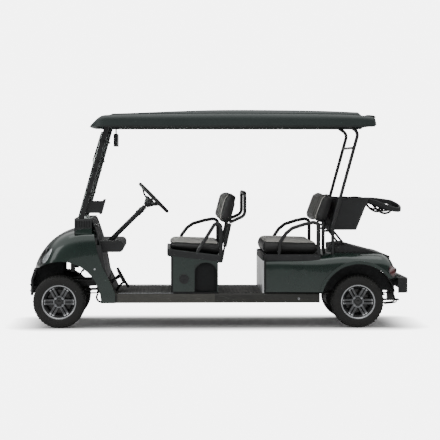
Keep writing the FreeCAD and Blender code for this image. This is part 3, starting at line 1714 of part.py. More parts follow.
def make_front_pod():
    """The seat pedestal: a thin-walled box with arched recesses, and the sloping tray on top."""
    half = S.pod_width / 2
    wall = S.pod_wall
    low = S.floor_height
    x0, x1 = X_POD, X_POD_BACK
    front, back = x0 - S.tray_overhang_front, x1 + S.tray_overhang_rear
    outer_top = [(x, tray_top(x) - S.tray_depth / 2) for x in (x1, x0)]
    shell = prism([(x0, low), (x1, low)] + outer_top, -half, half * 2)
    inner_top = [(x, tray_top(x) - S.tray_depth / 2) for x in (x1 - wall, x0 + wall)]
    room = prism([(x0 + wall, low), (x1 - wall, low)] + inner_top, wall - half, (half - wall) * 2)
    solid = shell.cut(room)
    recess_x0 = x1 - S.pod_recess_gap - S.pod_recess_length
    for share in SIDES.values():
        arch = recess_shape(recess_x0, S.pod_recess_length, S.pod_recess_height, S.pod_recess_depth, half, share)
        grown = recess_shape(
            recess_x0 - wall, S.pod_recess_length + wall * 2, S.pod_recess_height + wall,
            S.pod_recess_depth + wall, half - wall / 2, share,
        )
        solid = solid.fuse(grown.common(shell)).cut(arch)
        port_x = x0 + S.pod_port_reach
        out = half + S.pod_port_rise
        start = out if share == RIGHT_SHARE else -out
        port = Part.makeCylinder(
            float(S.pod_port_diameter) / 2, float(S.pod_port_rise + wall / 2),
            point(port_x, start, low + S.pod_port_height), Vector(0, -share, 0),
        )
        solid = solid.fuse(port)
    tray_half = S.tray_width / 2
    tray = prism(
        [
            (front, tray_top(front) - S.tray_depth),
            (back, tray_top(back) - S.tray_depth),
            (back, tray_top(back)),
            (front, tray_top(front)),
        ],
        -tray_half,
        S.tray_width,
    )
    tray = round_edges(tray, Z_AXIS, S.tray_corner_radius, None)
    return feature("front_seat_pod", biggest(solid.fuse(tray).removeSplitter()))


def recess_shape(x, length, height, depth, half, share):
    """An arched pocket in the side of the pedestal: a box with a half-round head."""
    radius = float(length) / 2
    low = float(S.floor_height + S.pod_recess_gap)
    straight = float(height) - radius * RECESS_ARCH_SHARE
    start = float(half - depth) if share == RIGHT_SHARE else -float(half) - float(S.overrun)
    run = float(depth) + float(S.overrun)
    left, right = float(x), float(x) + float(length)
    ends = [Vector(left, start, low), Vector(right, start, low)]
    tops = [Vector(right, start, low + straight), Vector(left, start, low + straight)]
    crown = Vector((left + right) / 2, start, low + float(height))
    edges = [
        Part.LineSegment(ends[0], ends[1]).toShape(),
        Part.LineSegment(ends[1], tops[0]).toShape(),
        Part.Arc(tops[0], crown, tops[1]).toShape(),
        Part.LineSegment(tops[1], ends[0]).toShape(),
    ]
    return Part.Face(Part.Wire(edges)).extrude(Vector(0, run, 0))


RECESS_ARCH_SHARE = 0.35


def cushion_solid(front, depth, bottom, top_front, top_back):
    """A seat cushion as a simple wedge with rounded edges; bottom gives the tray height at a place."""
    half = S.cushion_width / 2
    back = front + depth
    corners = [
        (front, bottom(front) + S.seat_gap),
        (back, bottom(back) + S.seat_gap),
        (back, top_back),
        (front, top_front),
    ]
    wedge = prism(corners, -half, S.cushion_width)
    low_edge = max(float(bottom(front)), float(bottom(back))) + float(S.cushion_corner_radius)
    edges = []
    for edge in wedge.Edges:
        if edge.CenterOfMass.z > low_edge:
            edges.append(edge)
    return wedge.makeFillet(float(S.cushion_corner_radius), edges)


def make_front_cushion():
    front = X_POD - S.tray_overhang_front + S.cushion_setback
    solid = cushion_solid(front, S.cushion_depth, tray_top, S.seat_height, S.seat_height - S.cushion_fall)
    return feature("front_seat_cushion", solid)


def backrest_solid(x, z, lean):
    """A backrest pad: a rounded block leaned back about its middle."""
    pad_block = block(
        (-S.backrest_thickness / 2, -S.backrest_width / 2, -S.backrest_height / 2),
        (S.backrest_thickness / 2, S.backrest_width / 2, S.backrest_height / 2),
    )
    pad_block = pad_block.makeFillet(float(S.backrest_corner_radius), pad_block.Edges)
    pad_block.rotate(Vector(), Y_AXIS, float(lean))
    pad_block.translate(point(x, 0, z))
    return pad_block


def lean_back(reach, along, lean):
    """A place behind a leaned backrest: reach behind its middle plane, along it from its centre."""
    angle = math.radians(float(lean))
    dx = float(reach) * math.cos(angle) + float(along) * math.sin(angle)
    dz = float(along) * math.cos(angle) - float(reach) * math.sin(angle)
    return dx, dz


def make_front_seat_frame():
    """Two flat uprights that carry the backrest, and the grab hoop for the rear row."""
    x = X_POD + S.front_backrest_reach
    z = S.front_backrest_height
    lean = S.backrest_lean
    near = S.backrest_thickness / 2 + S.seat_gap
    far = near + S.upright_thickness
    back = X_POD_BACK + S.tray_overhang_rear
    solids = []
    top = float(S.backrest_height) / 2 * UPRIGHT_TOP_SHARE
    low = -float(S.backrest_height) / 2
    spots = [(near, top), (near, low), (far, low), (far, top)]
    places = [lean_back(reach, along, lean) for reach, along in spots]
    upper = [(x + dx, z + dz) for dx, dz in places]
    foot_x = back + S.seat_gap
    foot_z = S.tray_rear_height - S.upright_foot_drop
    foot = [(foot_x, S.tray_rear_height), (foot_x, foot_z), (foot_x + S.upright_foot_depth, foot_z)]
    foot.append((foot_x + S.upright_width / 2, S.tray_rear_height))
    for share in SIDES.values():
        start = S.upright_half_spacing * share - S.upright_thickness / 2
        blade = prism(upper[:2] + foot + upper[2:], start, S.upright_thickness)
        solids.append(blade)
    hoop_x = float(x) + lean_back(far, 0, lean)[0] + float(S.hoop_reach)
    start_dx, start_dz = lean_back(near + S.hoop_diameter / 2, low * HOOP_LOW_SHARE, lean)
    start_x, start_z = float(x) + start_dx, float(z) + start_dz
    half = float(S.hoop_half_spacing)
    points = [
        Vector(start_x, -half, start_z),
        Vector(hoop_x, -half, start_z + float(S.hoop_bend)),
        Vector(hoop_x, -half, float(S.hoop_height)),
        Vector(hoop_x, half, float(S.hoop_height)),
        Vector(hoop_x, half, start_z + float(S.hoop_bend)),
        Vector(start_x, half, start_z),
    ]
    hoop = tube(points, S.hoop_diameter / 2, S.hoop_bend)
    frame_bar = Part.makeCylinder(float(S.hoop_diameter) / 2, half * 2, points[0], Y_AXIS)
    shape = hoop.fuse([frame_bar] + solids).removeSplitter()
    return feature("front_seat_frame", shape)


UPRIGHT_TOP_SHARE = 0.4
HOOP_LOW_SHARE = 0.75


def armrest(front, length, surface, y, curve):
    """A bent tube from the tray edge, arched back to a corner, and down behind the hip."""
    back = front + length
    low = float(surface(front))
    crest = float(S.armrest_height)
    points = [point(front, y, low)]
    for run, up in curve:
        points.append(point(front + (back - front) * run, y, low + (crest - low) * up))
    points.append(point(back, y, surface(back)))
    return tube(points, S.armrest_diameter / 2, S.armrest_bend)


LONG_ARMREST_SHARES = ((0.03, 0.38), (0.18, 0.66), (0.34, 0.82), (0.64, 0.94), (0.87, 1.0), (1.0, 0.95))
SHORT_ARMREST_SHARES = ((0.78, 1.0), (1.0, 0.9))


def rear_seat_top(x):
    """The flat top of the rear seat base, whatever the place."""
    return S.rear_seat_base_height


def make_armrests():
    """A short bar beside the driver, a long one beside the passenger and two long ones at the rear."""
    half = S.armrest_half_spacing
    front_back = X_POD_BACK + S.armrest_setback
    rear_front = X_REAR_BODY + S.rear_armrest_reach
    short, long = S.short_armrest_length, S.long_armrest_length
    bars = [
        armrest(front_back - short, short, tray_top, -half, SHORT_ARMREST_SHARES),
        armrest(front_back - long, long, tray_top, half, LONG_ARMREST_SHARES),
        armrest(rear_front, long, rear_seat_top, -half, LONG_ARMREST_SHARES),
        armrest(rear_front, long, rear_seat_top, half, LONG_ARMREST_SHARES),
    ]
    seats = [tray_solid(), rear_rim_solid(), rear_body_form(-float(S.skin_gap))]
    bars = [biggest(bar.cut(seats)) for bar in bars]
    return feature("armrests", Part.makeCompound(bars))


def tray_solid():
    """All that lies under the sloping top of the front tray."""
    front, back = X_POD - S.tray_overhang_front, X_POD_BACK + S.tray_overhang_rear
    return prism(
        [(front, 0), (back, 0), (back, tray_top(back)), (front, tray_top(front))],
        -HALF_BODY,
        S.body_width,
    )


# Rear body: the shares give each cross-section's place, height, width, squareness and sweep
REAR_GUIDE_SHARES = (
    (0.0, 0.95, 0.94),
    (0.2, 0.965, 0.94),
    (0.36, 0.98, 0.94),
    (0.44, 0.99, 0.955),
    (0.54, 0.995, 1.0),
    (0.66, 1.0, 1.01),
    (0.78, 1.0, 1.0),
    (0.87, 0.995, 0.985),
    (0.925, 0.98, 0.91),
    (0.962, 0.965, 0.76),
    (1.0, 0.95, 0.5),
)
REAR_POWERS = (9.0, 7.0)


def rear_rows(inset=0.0):
    """The rear body's cross-sections from the kick panel to the tail."""
    low = float(S.rear_body_low_height)
    rise = float(S.rear_body_shoulder_height) - low
    half = float(HALF_BODY + S.rear_body_flare)
    guide = []
    for along, across, up in REAR_GUIDE_SHARES:
        x = float(X_REAR_BODY) + float(S.rear_body_length) * along
        guide.append((x, half * across - inset, low + rise * up - inset))
    return guided_rows(guide, low, REAR_POWERS, (0.0, -float(S.rear_tail_bow)))


def rear_body_form(inset):
    """The closed form of the whole rear body."""
    return closed_form(rear_rows(inset))


def tail_lamps(gap):
    size = (S.tail_lamp_width, S.tail_lamp_height, S.tail_lamp_depth)
    surface = skin_surface(rear_rows())
    targets = [
        point(X_TAIL - S.tail_lamp_setback, HALF_BODY * share, S.tail_lamp_centre_height)
        for share in SIDES.values()
    ]
    return [skin_lamp(surface, target, size, gap) for target in targets]


def below_body(front):
    """The room under the rear body's lower edge, from a place back to the tail."""
    return block((front, -S.body_width, -S.rear_arch_radius), (X_TAIL, S.body_width, S.rear_body_low_height))


def rear_arch(radius, start, width):
    """A round bar across the cart at the rear wheel arch."""
    centre = point(X_REAR_AXLE + S.rear_arch_offset, start, Z_AXLE)
    return Part.makeCylinder(float(radius), float(width), centre, Y_AXIS)


def make_rear_body(lamps):
    """The rear body skin with its wheel arches, flared lips, seat box opening and open tail."""
    skin = walled_skin(rear_rows(), S.rear_body_wall)
    half = HALF_BODY + S.rear_body_flare
    lip_radius = S.rear_arch_radius + S.rear_arch_lip
    low_cut = below_body(X_REAR_BODY)
    for share in SIDES.values():
        start = half - S.rear_arch_lip_depth if share == RIGHT_SHARE else -half - S.rear_arch_lip_rise
        width = S.rear_arch_lip_depth + S.rear_arch_lip_rise
        ring = rear_arch(lip_radius, start, width).cut([rear_arch(S.rear_arch_radius, start, width), low_cut])
        skin = skin.fuse(ring)
    tail_cut = block(
        (X_REAR_BODY_BACK - S.tail_cut_length, -HALF_BODY * 2, 0),
        (X_TAIL, HALF_BODY * 2, S.rear_bumper_bottom_height + S.rear_bumper_height + S.seat_gap),
    )
    seat_box = block(
        (X_REAR_BODY + S.seat_box_inset, S.seat_box_width / -2, S.rear_body_low_height + S.seat_box_inset),
        (X_REAR_BODY + S.seat_box_length, S.seat_box_width / 2, S.roof_edge_height),
    )
    arch = rear_arch(S.rear_arch_radius, -half - S.overrun, (half + S.overrun) * 2)
    shape = skin.cut([arch, tail_cut, seat_box] + lamps)
    return feature("rear_body", biggest(shape))


def rear_rim_solid():
    """The rim that carries the rear cushion, from the rear body's top up to the seat base."""
    x0 = X_REAR_BODY - S.kick_panel_depth
    x1 = X_REAR_BODY + S.rear_rim_length
    half = S.tray_width / 2
    low = S.rear_body_low_height + (S.rear_body_shoulder_height - S.rear_body_low_height) * RIM_LOW_SHARE
    rim = block((x0, -half, low), (x1, half, S.rear_seat_base_height))
    rim = round_edges(rim, Z_AXIS, S.tray_corner_radius, None)
    well = block(
        (X_REAR_BODY + S.seat_box_inset, S.seat_box_width / -2, low),
        (X_REAR_BODY + S.seat_box_length, S.seat_box_width / 2, S.rear_seat_base_height),
    )
    return rim.cut(well)


RIM_LOW_SHARE = 0.8


def make_rear_rim():
    """The black rim of the rear seat, cut clear of the rear body under it and behind it."""
    under = rear_body_form(-float(S.skin_gap))
    behind = under.copy()
    behind.translate(point(-S.skin_gap, 0, 0))
    return feature("rear_seat_rim", biggest(rear_rim_solid().cut([under, behind])))


def make_kick_panel():
    """The bright folded panel that closes the front of the rear seat box."""
    half = HALF_BODY * KICK_WIDTH_SHARE
    x0, x1 = X_REAR_BODY - S.kick_panel_depth, X_REAR_BODY - S.seat_gap
    low = S.floor_height
    high = S.rear_body_low_height + (S.rear_body_shoulder_height - S.rear_body_low_height) * RIM_LOW_SHARE
    pan = block((x0, -half, low), (x1, half, high))
    pan = round_edges(pan, Z_AXIS, S.kick_corner_radius, lambda spot: spot.x < float(x1) - float(S.seat_gap))
    wall = S.kick_panel_thickness
    room = block((x0 + wall, wall - half, low), (x1 + wall, half - wall, high))
    near_end = float(x1) - float(S.seat_gap)
    room = round_edges(room, Z_AXIS, S.kick_corner_radius - wall, lambda spot: spot.x < near_end)
    return feature("kick_panel", pan.cut(room))


KICK_WIDTH_SHARE = 0.945


def make_arch_liners():
    """Half-round liners over the rear tyres, held in the arch openings."""
    half = HALF_BODY + S.rear_body_flare - S.rear_arch_lip_depth
    outer = S.rear_arch_radius - S.seat_gap
    low_cut = below_body(X_POD)
    solids = []
    for share in SIDES.values():
        start = half - S.liner_width if share == RIGHT_SHARE else -half
        room = rear_arch(outer - S.liner_thickness, start, S.liner_width)
        ring = rear_arch(outer, start, S.liner_width).cut(room)
        inner_y = start if share == RIGHT_SHARE else start + S.liner_width - S.liner_thickness
        cheek = rear_arch(outer, inner_y, S.liner_thickness)
        solids.append(ring.fuse(cheek).cut(low_cut).removeSplitter())
    return feature("rear_arch_liners", Part.makeCompound(solids))


def make_rear_cushion():
    front = X_REAR_BODY - S.kick_panel_depth
    top = S.seat_height + S.rear_cushion_rise
    solid = cushion_solid(front, S.rear_cushion_depth, rear_seat_top, top, top - S.cushion_fall)
    return feature("rear_seat_cushion", solid)


def make_deck():
    """The black deck behind the rear seat, sloping down to the tail."""
    body = deck_prism(S.rear_body_shoulder_height - S.deck_skirt)
    return feature("rear_deck", biggest(body.cut(rear_body_form(-float(S.skin_gap)))))


DECK_CREST_SHARE = 0.25


def make_rear_seat_frame():
    """Posts behind the rear backrest, its cross bars and the braces under the basket."""
    radius = S.brace_diameter / 2
    half = float(S.upright_half_spacing)
    x, z = rear_backrest_place()
    lean = S.rear_backrest_lean
    near = float(S.backrest_thickness) / 2 + float(S.brace_diameter) / 2 + float(S.seat_gap)
    dx, dz = lean_back(near, 0, lean)
    low_dx, low_dz = lean_back(near, -float(S.backrest_height) / 2, lean)
    middle = Vector(float(x) + dx, 0, float(z) + dz)
    lower = Vector(float(x) + low_dx, 0, float(z) + low_dz)
    base = S.rear_body_low_height
    solids = []
    for share in SIDES.values():
        side = Vector(0, half * share, 0)
        foot = Vector(lower.x, half * share, float(base))
        solids.append(tube([foot, lower + side, middle + side], radius, S.brace_diameter))
    basket_x = X_REAR_AXLE - S.basket_top_reach - S.basket_sweep + S.basket_corner_radius
    bar = point(basket_x, 0, S.basket_bottom_height - S.seat_gap - radius)
    for share in SIDES.values():
        side = Vector(0, half * share, 0)
        solids.append(tube([Vector(lower.x, 0, bar.z) + side, bar + side], radius))
        deck_spot = bar + point(S.brace_run, 0, -S.brace_run * BRACE_FALL_SHARE)
        solids.append(tube([bar + side, deck_spot + side], radius))
    for spot in (lower, middle, bar):
        solids.append(Part.makeCylinder(float(radius), half * 2, spot - Vector(0, half, 0), Y_AXIS))
    shape = solids[0].fuse(solids[1:])
    shape = shape.cut([rear_body_form(-float(S.skin_gap)), rear_rim_solid(), deck_prism(0)])
    return feature("rear_seat_frame", biggest(shape.removeSplitter()))


BRACE_FALL_SHARE = 1.25


def deck_prism(low):
    """The room that the rear deck fills, down to a height."""
    x1 = X_REAR_BODY_BACK - S.deck_reach
    x0 = x1 - S.deck_length
    corners = [
        (x0, low),
        (x1, low),
        (x1, S.deck_rear_height),
        (x0 + S.deck_length * DECK_CREST_SHARE, S.deck_front_height),
        (x0, S.deck_front_height - S.deck_fall),
    ]
    return prism(corners, S.deck_width / -2, S.deck_width)


def rear_backrest_place():
    return X_REAR_AXLE - S.rear_backrest_reach, S.rear_backrest_height


def front_backrest_place():
    return X_POD + S.front_backrest_reach, S.front_backrest_height


def make_basket():
    """The open bag basket: thin sloping walls that sweep back from bottom to top."""
    x0 = X_REAR_AXLE - S.basket_top_reach
    outer = basket_form(x0, 0.0)
    inner = basket_form(x0, float(S.basket_wall))
    return feature("bag_basket", outer.cut(inner))


def basket_form(x0, inset):
    """The basket's outer form, or its room when inset."""
    levels = [
        (x0 - S.basket_sweep, S.basket_bottom_length, S.basket_bottom_width, S.basket_bottom_height + inset),
        (x0, S.basket_top_length, S.basket_top_width, S.basket_top_height + inset),
    ]
    wires = []
    for front, length, width, z in levels:
        wires.append(
            rounded_rectangle(
                float(front) + inset,
                float(front + length) - inset,
                float(width) / 2 - inset,
                float(S.basket_corner_radius) - inset,
                float(z),
            )
        )
    return Part.makeLoft(wires, True, True)


def make_bag_holders():
    """Two moulded yokes behind the basket, each open to the rear for the neck of a bag."""
    back = X_REAR_AXLE - S.basket_top_reach + S.basket_top_length
    top = float(S.holder_top_height)
    solids = []
    for share in SIDES.values():
        y = float(S.holder_half_spacing) * share
        half = float(S.holder_width) / 2
        length = float(S.holder_length)
        wall = float(S.holder_wall)
        plate = rounded_plate(length, half, wall)
        base = point(back + S.seat_gap, y, top - S.holder_height)
        plate.Placement = Placement(base, Rotation(Y_AXIS, S.holder_slope))
        ledge = block(
            (back + S.seat_gap, y - half / 2, top - S.holder_height * 2),
            (back + S.holder_wall, y + half / 2, top - S.holder_height / 2),
        )
        front_cut = block((X_POD, -HALF_BODY, 0), (back + S.seat_gap, HALF_BODY, S.roof_edge_height))
        solids.append(biggest(plate.fuse(ledge).cut(front_cut).removeSplitter()))
    return feature("bag_holders", Part.makeCompound(solids))


def rounded_plate(length, half, wall):
    """A yoke seen from above: a plate with rounded outer corners and a deep notch from the rear."""
    height = float(S.holder_height)
    body = Part.makeBox(length + wall, half * 2, height, Vector(-wall, -half, 0))
    body = round_edges(body, Z_AXIS, wall, None)
    inner = half - wall
    notch = Part.makeCylinder(inner, height, Vector(wall + inner, 0, 0))
    mouth = Part.makeBox(length, inner * 2, height, Vector(wall + inner, -inner, 0))
    return body.cut([notch, mouth])


def make_rear_bumper():
    """The black tail bumper: a thin rounded shell open to the front and below."""
    outer = bumper_form(0.0)
    inner = bumper_form(float(S.rear_bumper_wall))
    shell = outer.cut(inner)
    rail_end = X_TAIL - S.rail_end_setback + S.seat_gap
    top = rail_tops()[1]
    for share in SIDES.values():
        near = S.rail_spacing / 2 * share - S.rail_width / 2
        low = (rail_end, near, top - S.rail_height)
        high = (X_TAIL - S.rear_bumper_wall, near + S.rail_width, top)
        shell = shell.fuse(block(low, high))
    return feature("rear_bumper", shell.removeSplitter())


def bumper_form(inset):
    half = float(S.rear_bumper_width) / 2 - inset
    x0 = float(X_TAIL) - float(S.rear_bumper_depth)
    x1 = float(X_TAIL) - inset
    low = float(S.rear_bumper_bottom_height) - inset
    top = float(S.rear_bumper_bottom_height) + float(S.rear_bumper_height) - inset
    radius = float(S.rear_bumper_corner_radius) - inset
    body = block((x0 - inset, -half, low), (x1, half, top))
    return round_edges(body, Z_AXIS, radius, lambda spot: spot.x > (x0 + x1) / 2)


def make_battery():
    half = S.battery_width / 2
    x0 = X_POD + (S.front_pod_length - S.battery_length) / 2
    corner = (x0, -half, S.floor_height)
    return box("battery_block", corner, S.battery_length, S.battery_width, S.battery_height)


def make_backrest(name, spot, lean):
    return feature(name, backrest_solid(*spot, lean))


def main():
    """Builds every piece, checks it and writes it out."""
    gap = float(S.seat_gap)
    pieces = make_wheels()
    pieces += [
        make_front_axle(),
        make_knuckle("left"),
        make_knuckle("right"),
        make_tie_rod(),
        make_chassis_frame(),
        make_leaf_springs(),
        make_rear_axle(),
        make_floor(),
        make_sills(),
        make_pedals(),
        make_cowl(headlamps(gap)),
        feature("headlamps", Part.makeCompound(headlamps(0.0))),
        make_cap(),
        make_dash(),
        make_bumper(),
        make_front_struts(),
        make_windshield_lower(),
        make_windshield_upper(),
        make_mirror(),
        make_display(),
        make_steering_wheel(),
        make_column(),
        make_roof(),
        make_rear_struts(),
        make_front_pod(),
        make_battery(),
        make_front_cushion(),
        make_backrest("front_backrest", front_backrest_place(), S.backrest_lean),
        make_front_seat_frame(),
        make_armrests(),
        make_rear_body(tail_lamps(gap)),
        feature("tail_lamps", Part.makeCompound(tail_lamps(0.0))),
        make_rear_rim(),
        make_kick_panel(),
        make_arch_liners(),
        make_rear_cushion(),
        make_backrest("rear_backrest", rear_backrest_place(), S.rear_backrest_lean),
        make_rear_seat_frame(),
        make_deck(),
        make_basket(),
        make_bag_holders(),
        make_rear_bumper(),
    ]
    DOC.recompute()
    for item in DOC.Objects:
        if "Invalid" in item.State or "Error" in item.State:
            raise RuntimeError(f"{item.Label} is {item.State}")
    os.makedirs("parts", exist_ok=True)
    for piece in pieces:
        shape = piece.Shape
        if shape.isNull() or not shape.isValid():
            raise RuntimeError(f"{piece.Label} has no valid shape")
        print(f"{piece.Label}: {len(shape.Solids)} solids, {len(shape.Faces)} faces")
        shape.exportStep(f"parts/{piece.Label}.step")


main()
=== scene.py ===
"""Looks of a four-seat golf cart: paint, mouldings, wheels, padding, glass, lamps and small fittings.

Metres throughout. The cart points towards -X, its left side towards -Y, and it stands on Z = 0.
"""
import logging
import math
from dataclasses import dataclass, replace
from enum import Enum
from typing import Callable, Sequence

import bmesh
import bpy
import numpy as np
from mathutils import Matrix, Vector
from mathutils.bvhtree import BVHTree


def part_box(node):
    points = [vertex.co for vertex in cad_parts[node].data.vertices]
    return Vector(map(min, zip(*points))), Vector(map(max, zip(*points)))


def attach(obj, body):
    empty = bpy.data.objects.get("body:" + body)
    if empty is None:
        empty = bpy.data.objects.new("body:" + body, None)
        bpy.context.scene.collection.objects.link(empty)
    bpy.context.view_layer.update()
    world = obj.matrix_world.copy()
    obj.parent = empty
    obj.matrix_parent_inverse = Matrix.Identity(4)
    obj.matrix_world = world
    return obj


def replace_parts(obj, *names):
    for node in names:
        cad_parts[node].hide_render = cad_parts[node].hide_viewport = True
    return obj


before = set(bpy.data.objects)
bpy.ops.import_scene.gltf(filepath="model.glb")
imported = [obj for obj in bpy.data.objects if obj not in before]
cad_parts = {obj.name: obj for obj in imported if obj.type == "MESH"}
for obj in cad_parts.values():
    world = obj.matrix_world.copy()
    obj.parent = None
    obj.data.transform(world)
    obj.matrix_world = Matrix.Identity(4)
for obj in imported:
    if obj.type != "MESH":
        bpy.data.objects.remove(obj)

LOG = logging.getLogger("golf_cart")
Array = np.ndarray
Colour = tuple[float, float, float, float]
Rgb = tuple[int, int, int]
Pair = tuple[float, float]
Line = tuple[Pair, ...]
Place = tuple[float, float, float]
Piece = bpy.types.Object
Socket = bpy.types.NodeSocket
Value = Socket | float
LEFT, RIGHT = -1, 1
SIDES = {"left": LEFT, "right": RIGHT}
X_WAY, Y_WAY, Z_WAY = (1, 0, 0), (0, 1, 0), (0, 0, 1)
CHASSIS = "chassis"
CRISP = 38.0  # degrees past which an edge stays crisp
WAVE_SCALE = 0.314  # the wave texture repeats after this many metres at a scale of one
CLOTH_FRAMES = 20
BESIDE = 0.9  # a place beside the cart, from where fittings are laid on a flank


# Surfaces worked out as arrays
@dataclass
class Form:
    """Points and faces of one surface, with the finish number of each face."""

    points: Array
    faces: list[list[int]]
    tones: list[int]

    def __add__(self, other: "Form") -> "Form":
        """Both forms as one."""
        start = len(self.points)
        faces = self.faces + [[start + corner for corner in face] for face in other.faces]
        return Form(np.vstack([self.points, other.points]), faces, self.tones + other.tones)

    def toned(self, tone: int) -> "Form":
        """The form with every face given one finish number."""
        return Form(self.points, self.faces, [tone] * len(self.faces))

    def toned_where(self, tone: int, test: Callable[[Array], Array]) -> "Form":
        """The form with a finish number on the faces whose middles pass a test.

        Args:
            tone: the finish number.
            test: takes the face middles as an (n, 3) array and returns a mask.

        Returns:
            The same surface with new finish numbers.
        """
        middles = np.array([self.points[face].mean(axis=0) for face in self.faces])
        mask = test(middles)
        tones = [tone if hit else old for hit, old in zip(mask, self.tones)]
        return Form(self.points, self.faces, tones)

    def moved(self, x: float, y: float, z: float) -> "Form":
        """The form shifted."""
        return Form(self.points + np.array([x, y, z]), self.faces, self.tones)

    def framed(self, origin: Place, x_way: Place, y_way: Place) -> "Form":
        """The form carried into a frame: local X and Y point along the given ways, Z across both."""
        first = unit(np.array(x_way, float))
        third = unit(np.cross(first, np.array(y_way, float)))
        second = np.cross(third, first)
        turned = self.points @ np.array([first, second, third])
        return Form(turned + np.array(origin, float), self.faces, self.tones)

    def standing(self, origin: Place, along: Place = X_WAY) -> "Form":
        """The form stood up: local Y points up and local X along the given way."""
        return self.framed(origin, along, Z_WAY)

    def turned(self, degrees: float) -> "Form":
        """The form turned about the local Z axis."""
        sine, cosine = math.sin(math.radians(degrees)), math.cos(math.radians(degrees))
        turn = np.array([[cosine, sine, 0], [-sine, cosine, 0], [0, 0, 1]])
        return Form(self.points @ turn, self.faces, self.tones)

    def mirrored(self) -> "Form":
        """The form on the other side of the cart, with its faces still outward."""
        return Form(self.points * np.array([1, -1, 1]), [face[::-1] for face in self.faces], self.tones)

    def both_sides(self) -> "Form":
        """The form and its mirror image."""
        return self + self.mirrored()

    def ring(self, count: int) -> "Form":
        """The form repeated evenly about the local Z axis."""
        return joined([self.turned(360.0 * number / count) for number in range(count)])


def joined(forms: Sequence[Form]) -> Form:
    """Several forms as one."""
    return sum(forms[1:], forms[0])


def unit(way: Array) -> Array:
    """Vectors scaled to a length of one along their last axis."""
    return way / np.linalg.norm(way, axis=-1, keepdims=True)


def smooth_line(points: Sequence[Sequence[float]], count: int, closed: bool = False) -> Array:
    """A smooth line through points: a Catmull-Rom curve, where each span is a cubic set by its
    two ends and their neighbours, read again at even steps of length.

    Args:
        points: the points the line passes.
        count: how many points the result has.
        closed: whether the line returns to its start.

    Returns:
        An array of count points.
    """
    knots = np.array(points, float)
    if closed:
        knots = np.vstack([knots[-1:], knots, knots[:2]])
    else:
        knots = np.vstack([2 * knots[0] - knots[1], knots, 2 * knots[-1] - knots[-2]])
    t = np.linspace(0, 1, 12, endpoint=False)[None, :, None]
    a, b, c, d = (knots[i:len(knots) - 3 + i, None, :] for i in range(4))
    spans = b + 0.5 * t * (c - a + t * (2 * a - 5 * b + 4 * c - d + t * (3 * (b - c) + d - a)))
    line = np.vstack([spans.reshape(-1, knots.shape[1]), knots[-2:-1]])
    lengths = np.concatenate([[0], np.cumsum(np.linalg.norm(np.diff(line, axis=0), axis=1))])
    steps = np.linspace(0, lengths[-1], count + (1 if closed else 0))[:count]
    return np.stack([np.interp(steps, lengths, line[:, axis]) for axis in range(line.shape[1])], axis=1)


def even_outline(outline: Array, count: int) -> Array:
    """A closed outline read at even steps along its sides.

    Args:
        outline: points in a plane.
        count: how many points the result has.

    Returns:
        An array of count points.
    """
    around = np.vstack([outline, outline[:1]])
    run = np.concatenate([[0.0], np.cumsum(np.linalg.norm(np.diff(around, axis=0), axis=1))])
    at = np.linspace(0, run[-1], count, endpoint=False)
    return np.stack([np.interp(at, run, around[:, axis]) for axis in (0, 1)], axis=1)


def grid_form(grid: Array, wrap_rows: bool = False, wrap_columns: bool = False, capped: bool = False) -> Form:
    """A surface over a grid of points: one four-cornered face between each point and its next in
    both directions.

    Args:
        grid: an array of rows, columns and three numbers.
        wrap_rows: joins the last row to the first.
        wrap_columns: joins the last column to the first.
        capped: closes the first and the last row with one face each.

    Returns:
        The surface.
    """
    rows, columns = grid.shape[:2]
    row = np.arange(rows if wrap_rows else rows - 1)
    column = np.arange(columns if wrap_columns else columns - 1)
    i, j = np.meshgrid(row, column, indexing="ij")
    i_next, j_next = (i + 1) % rows, (j + 1) % columns
    quads = np.stack([i * columns + j, i * columns + j_next, i_next * columns + j_next, i_next * columns + j], -1)
    faces = quads.reshape(-1, 4).tolist()
    if capped:
        faces.append(list(range(columns))[::-1])
        faces.append(list(range((rows - 1) * columns, rows * columns)))
    return Form(grid.reshape(-1, 3), faces, [0] * len(faces))


def round_outline(length: float, width: float, radius: float, steps: int = 6) -> Array:
    """A rectangle with rounded corners about the middle: each corner is a quarter circle about a
    centre set in by the radius.

    Args:
        length: its first side.
        width: its second side.
        radius: the corners' radius.
        steps: how many points each corner has.

    Returns:
        Points in a plane, turning left.
    """
    turn = np.linspace(0, math.pi / 2, steps)
    corners = []
    for number, (a, b) in enumerate(((1, 1), (-1, 1), (-1, -1), (1, -1))):
        centre = np.array([a * (length / 2 - radius), b * (width / 2 - radius)])
        angle = turn + number * math.pi / 2
        corners.append(centre + radius * np.stack([np.cos(angle), np.sin(angle)], 1))
    return np.vstack(corners)


def round_angles(steps: int) -> Array:
    """Angles evenly round a full turn."""
    return np.linspace(0, 2 * math.pi, steps, endpoint=False)


def circle(radius: float, steps: int) -> Array:
    """Points evenly round a circle in a plane."""
    angle = round_angles(steps)
    return radius * np.stack([np.cos(angle), np.sin(angle)], 1)


def slab(outline: Array, low: float, high: float, edge: float = 0.0) -> Form:
    """A plate: an outline carried from one height to another, drawn in by a quarter circle of the
    edge size at both faces.

    Args:
        outline: points in a plane, turning left.
        low: the height of the under face.
        high: the height of the upper face.
        edge: the size of the rounded edge.

    Returns:
        A closed form along the local Z axis.
    """
    reach = np.abs(outline).max(axis=0)
    turn = np.linspace(0, math.pi / 2, 4)
    inset = np.concatenate([edge * (1 - np.sin(turn)), edge * (1 - np.cos(turn))])
    height = np.concatenate([low + edge * (1 - np.cos(turn)), high - edge * (1 - np.sin(turn))])
    share = 1 - inset[:, None, None] / reach[None, None, :]
    flat = outline[None] * share
    depth = np.broadcast_to(height[:, None, None], (*flat.shape[:2], 1))
    return grid_form(np.concatenate([flat, depth], axis=2), wrap_columns=True, capped=True)


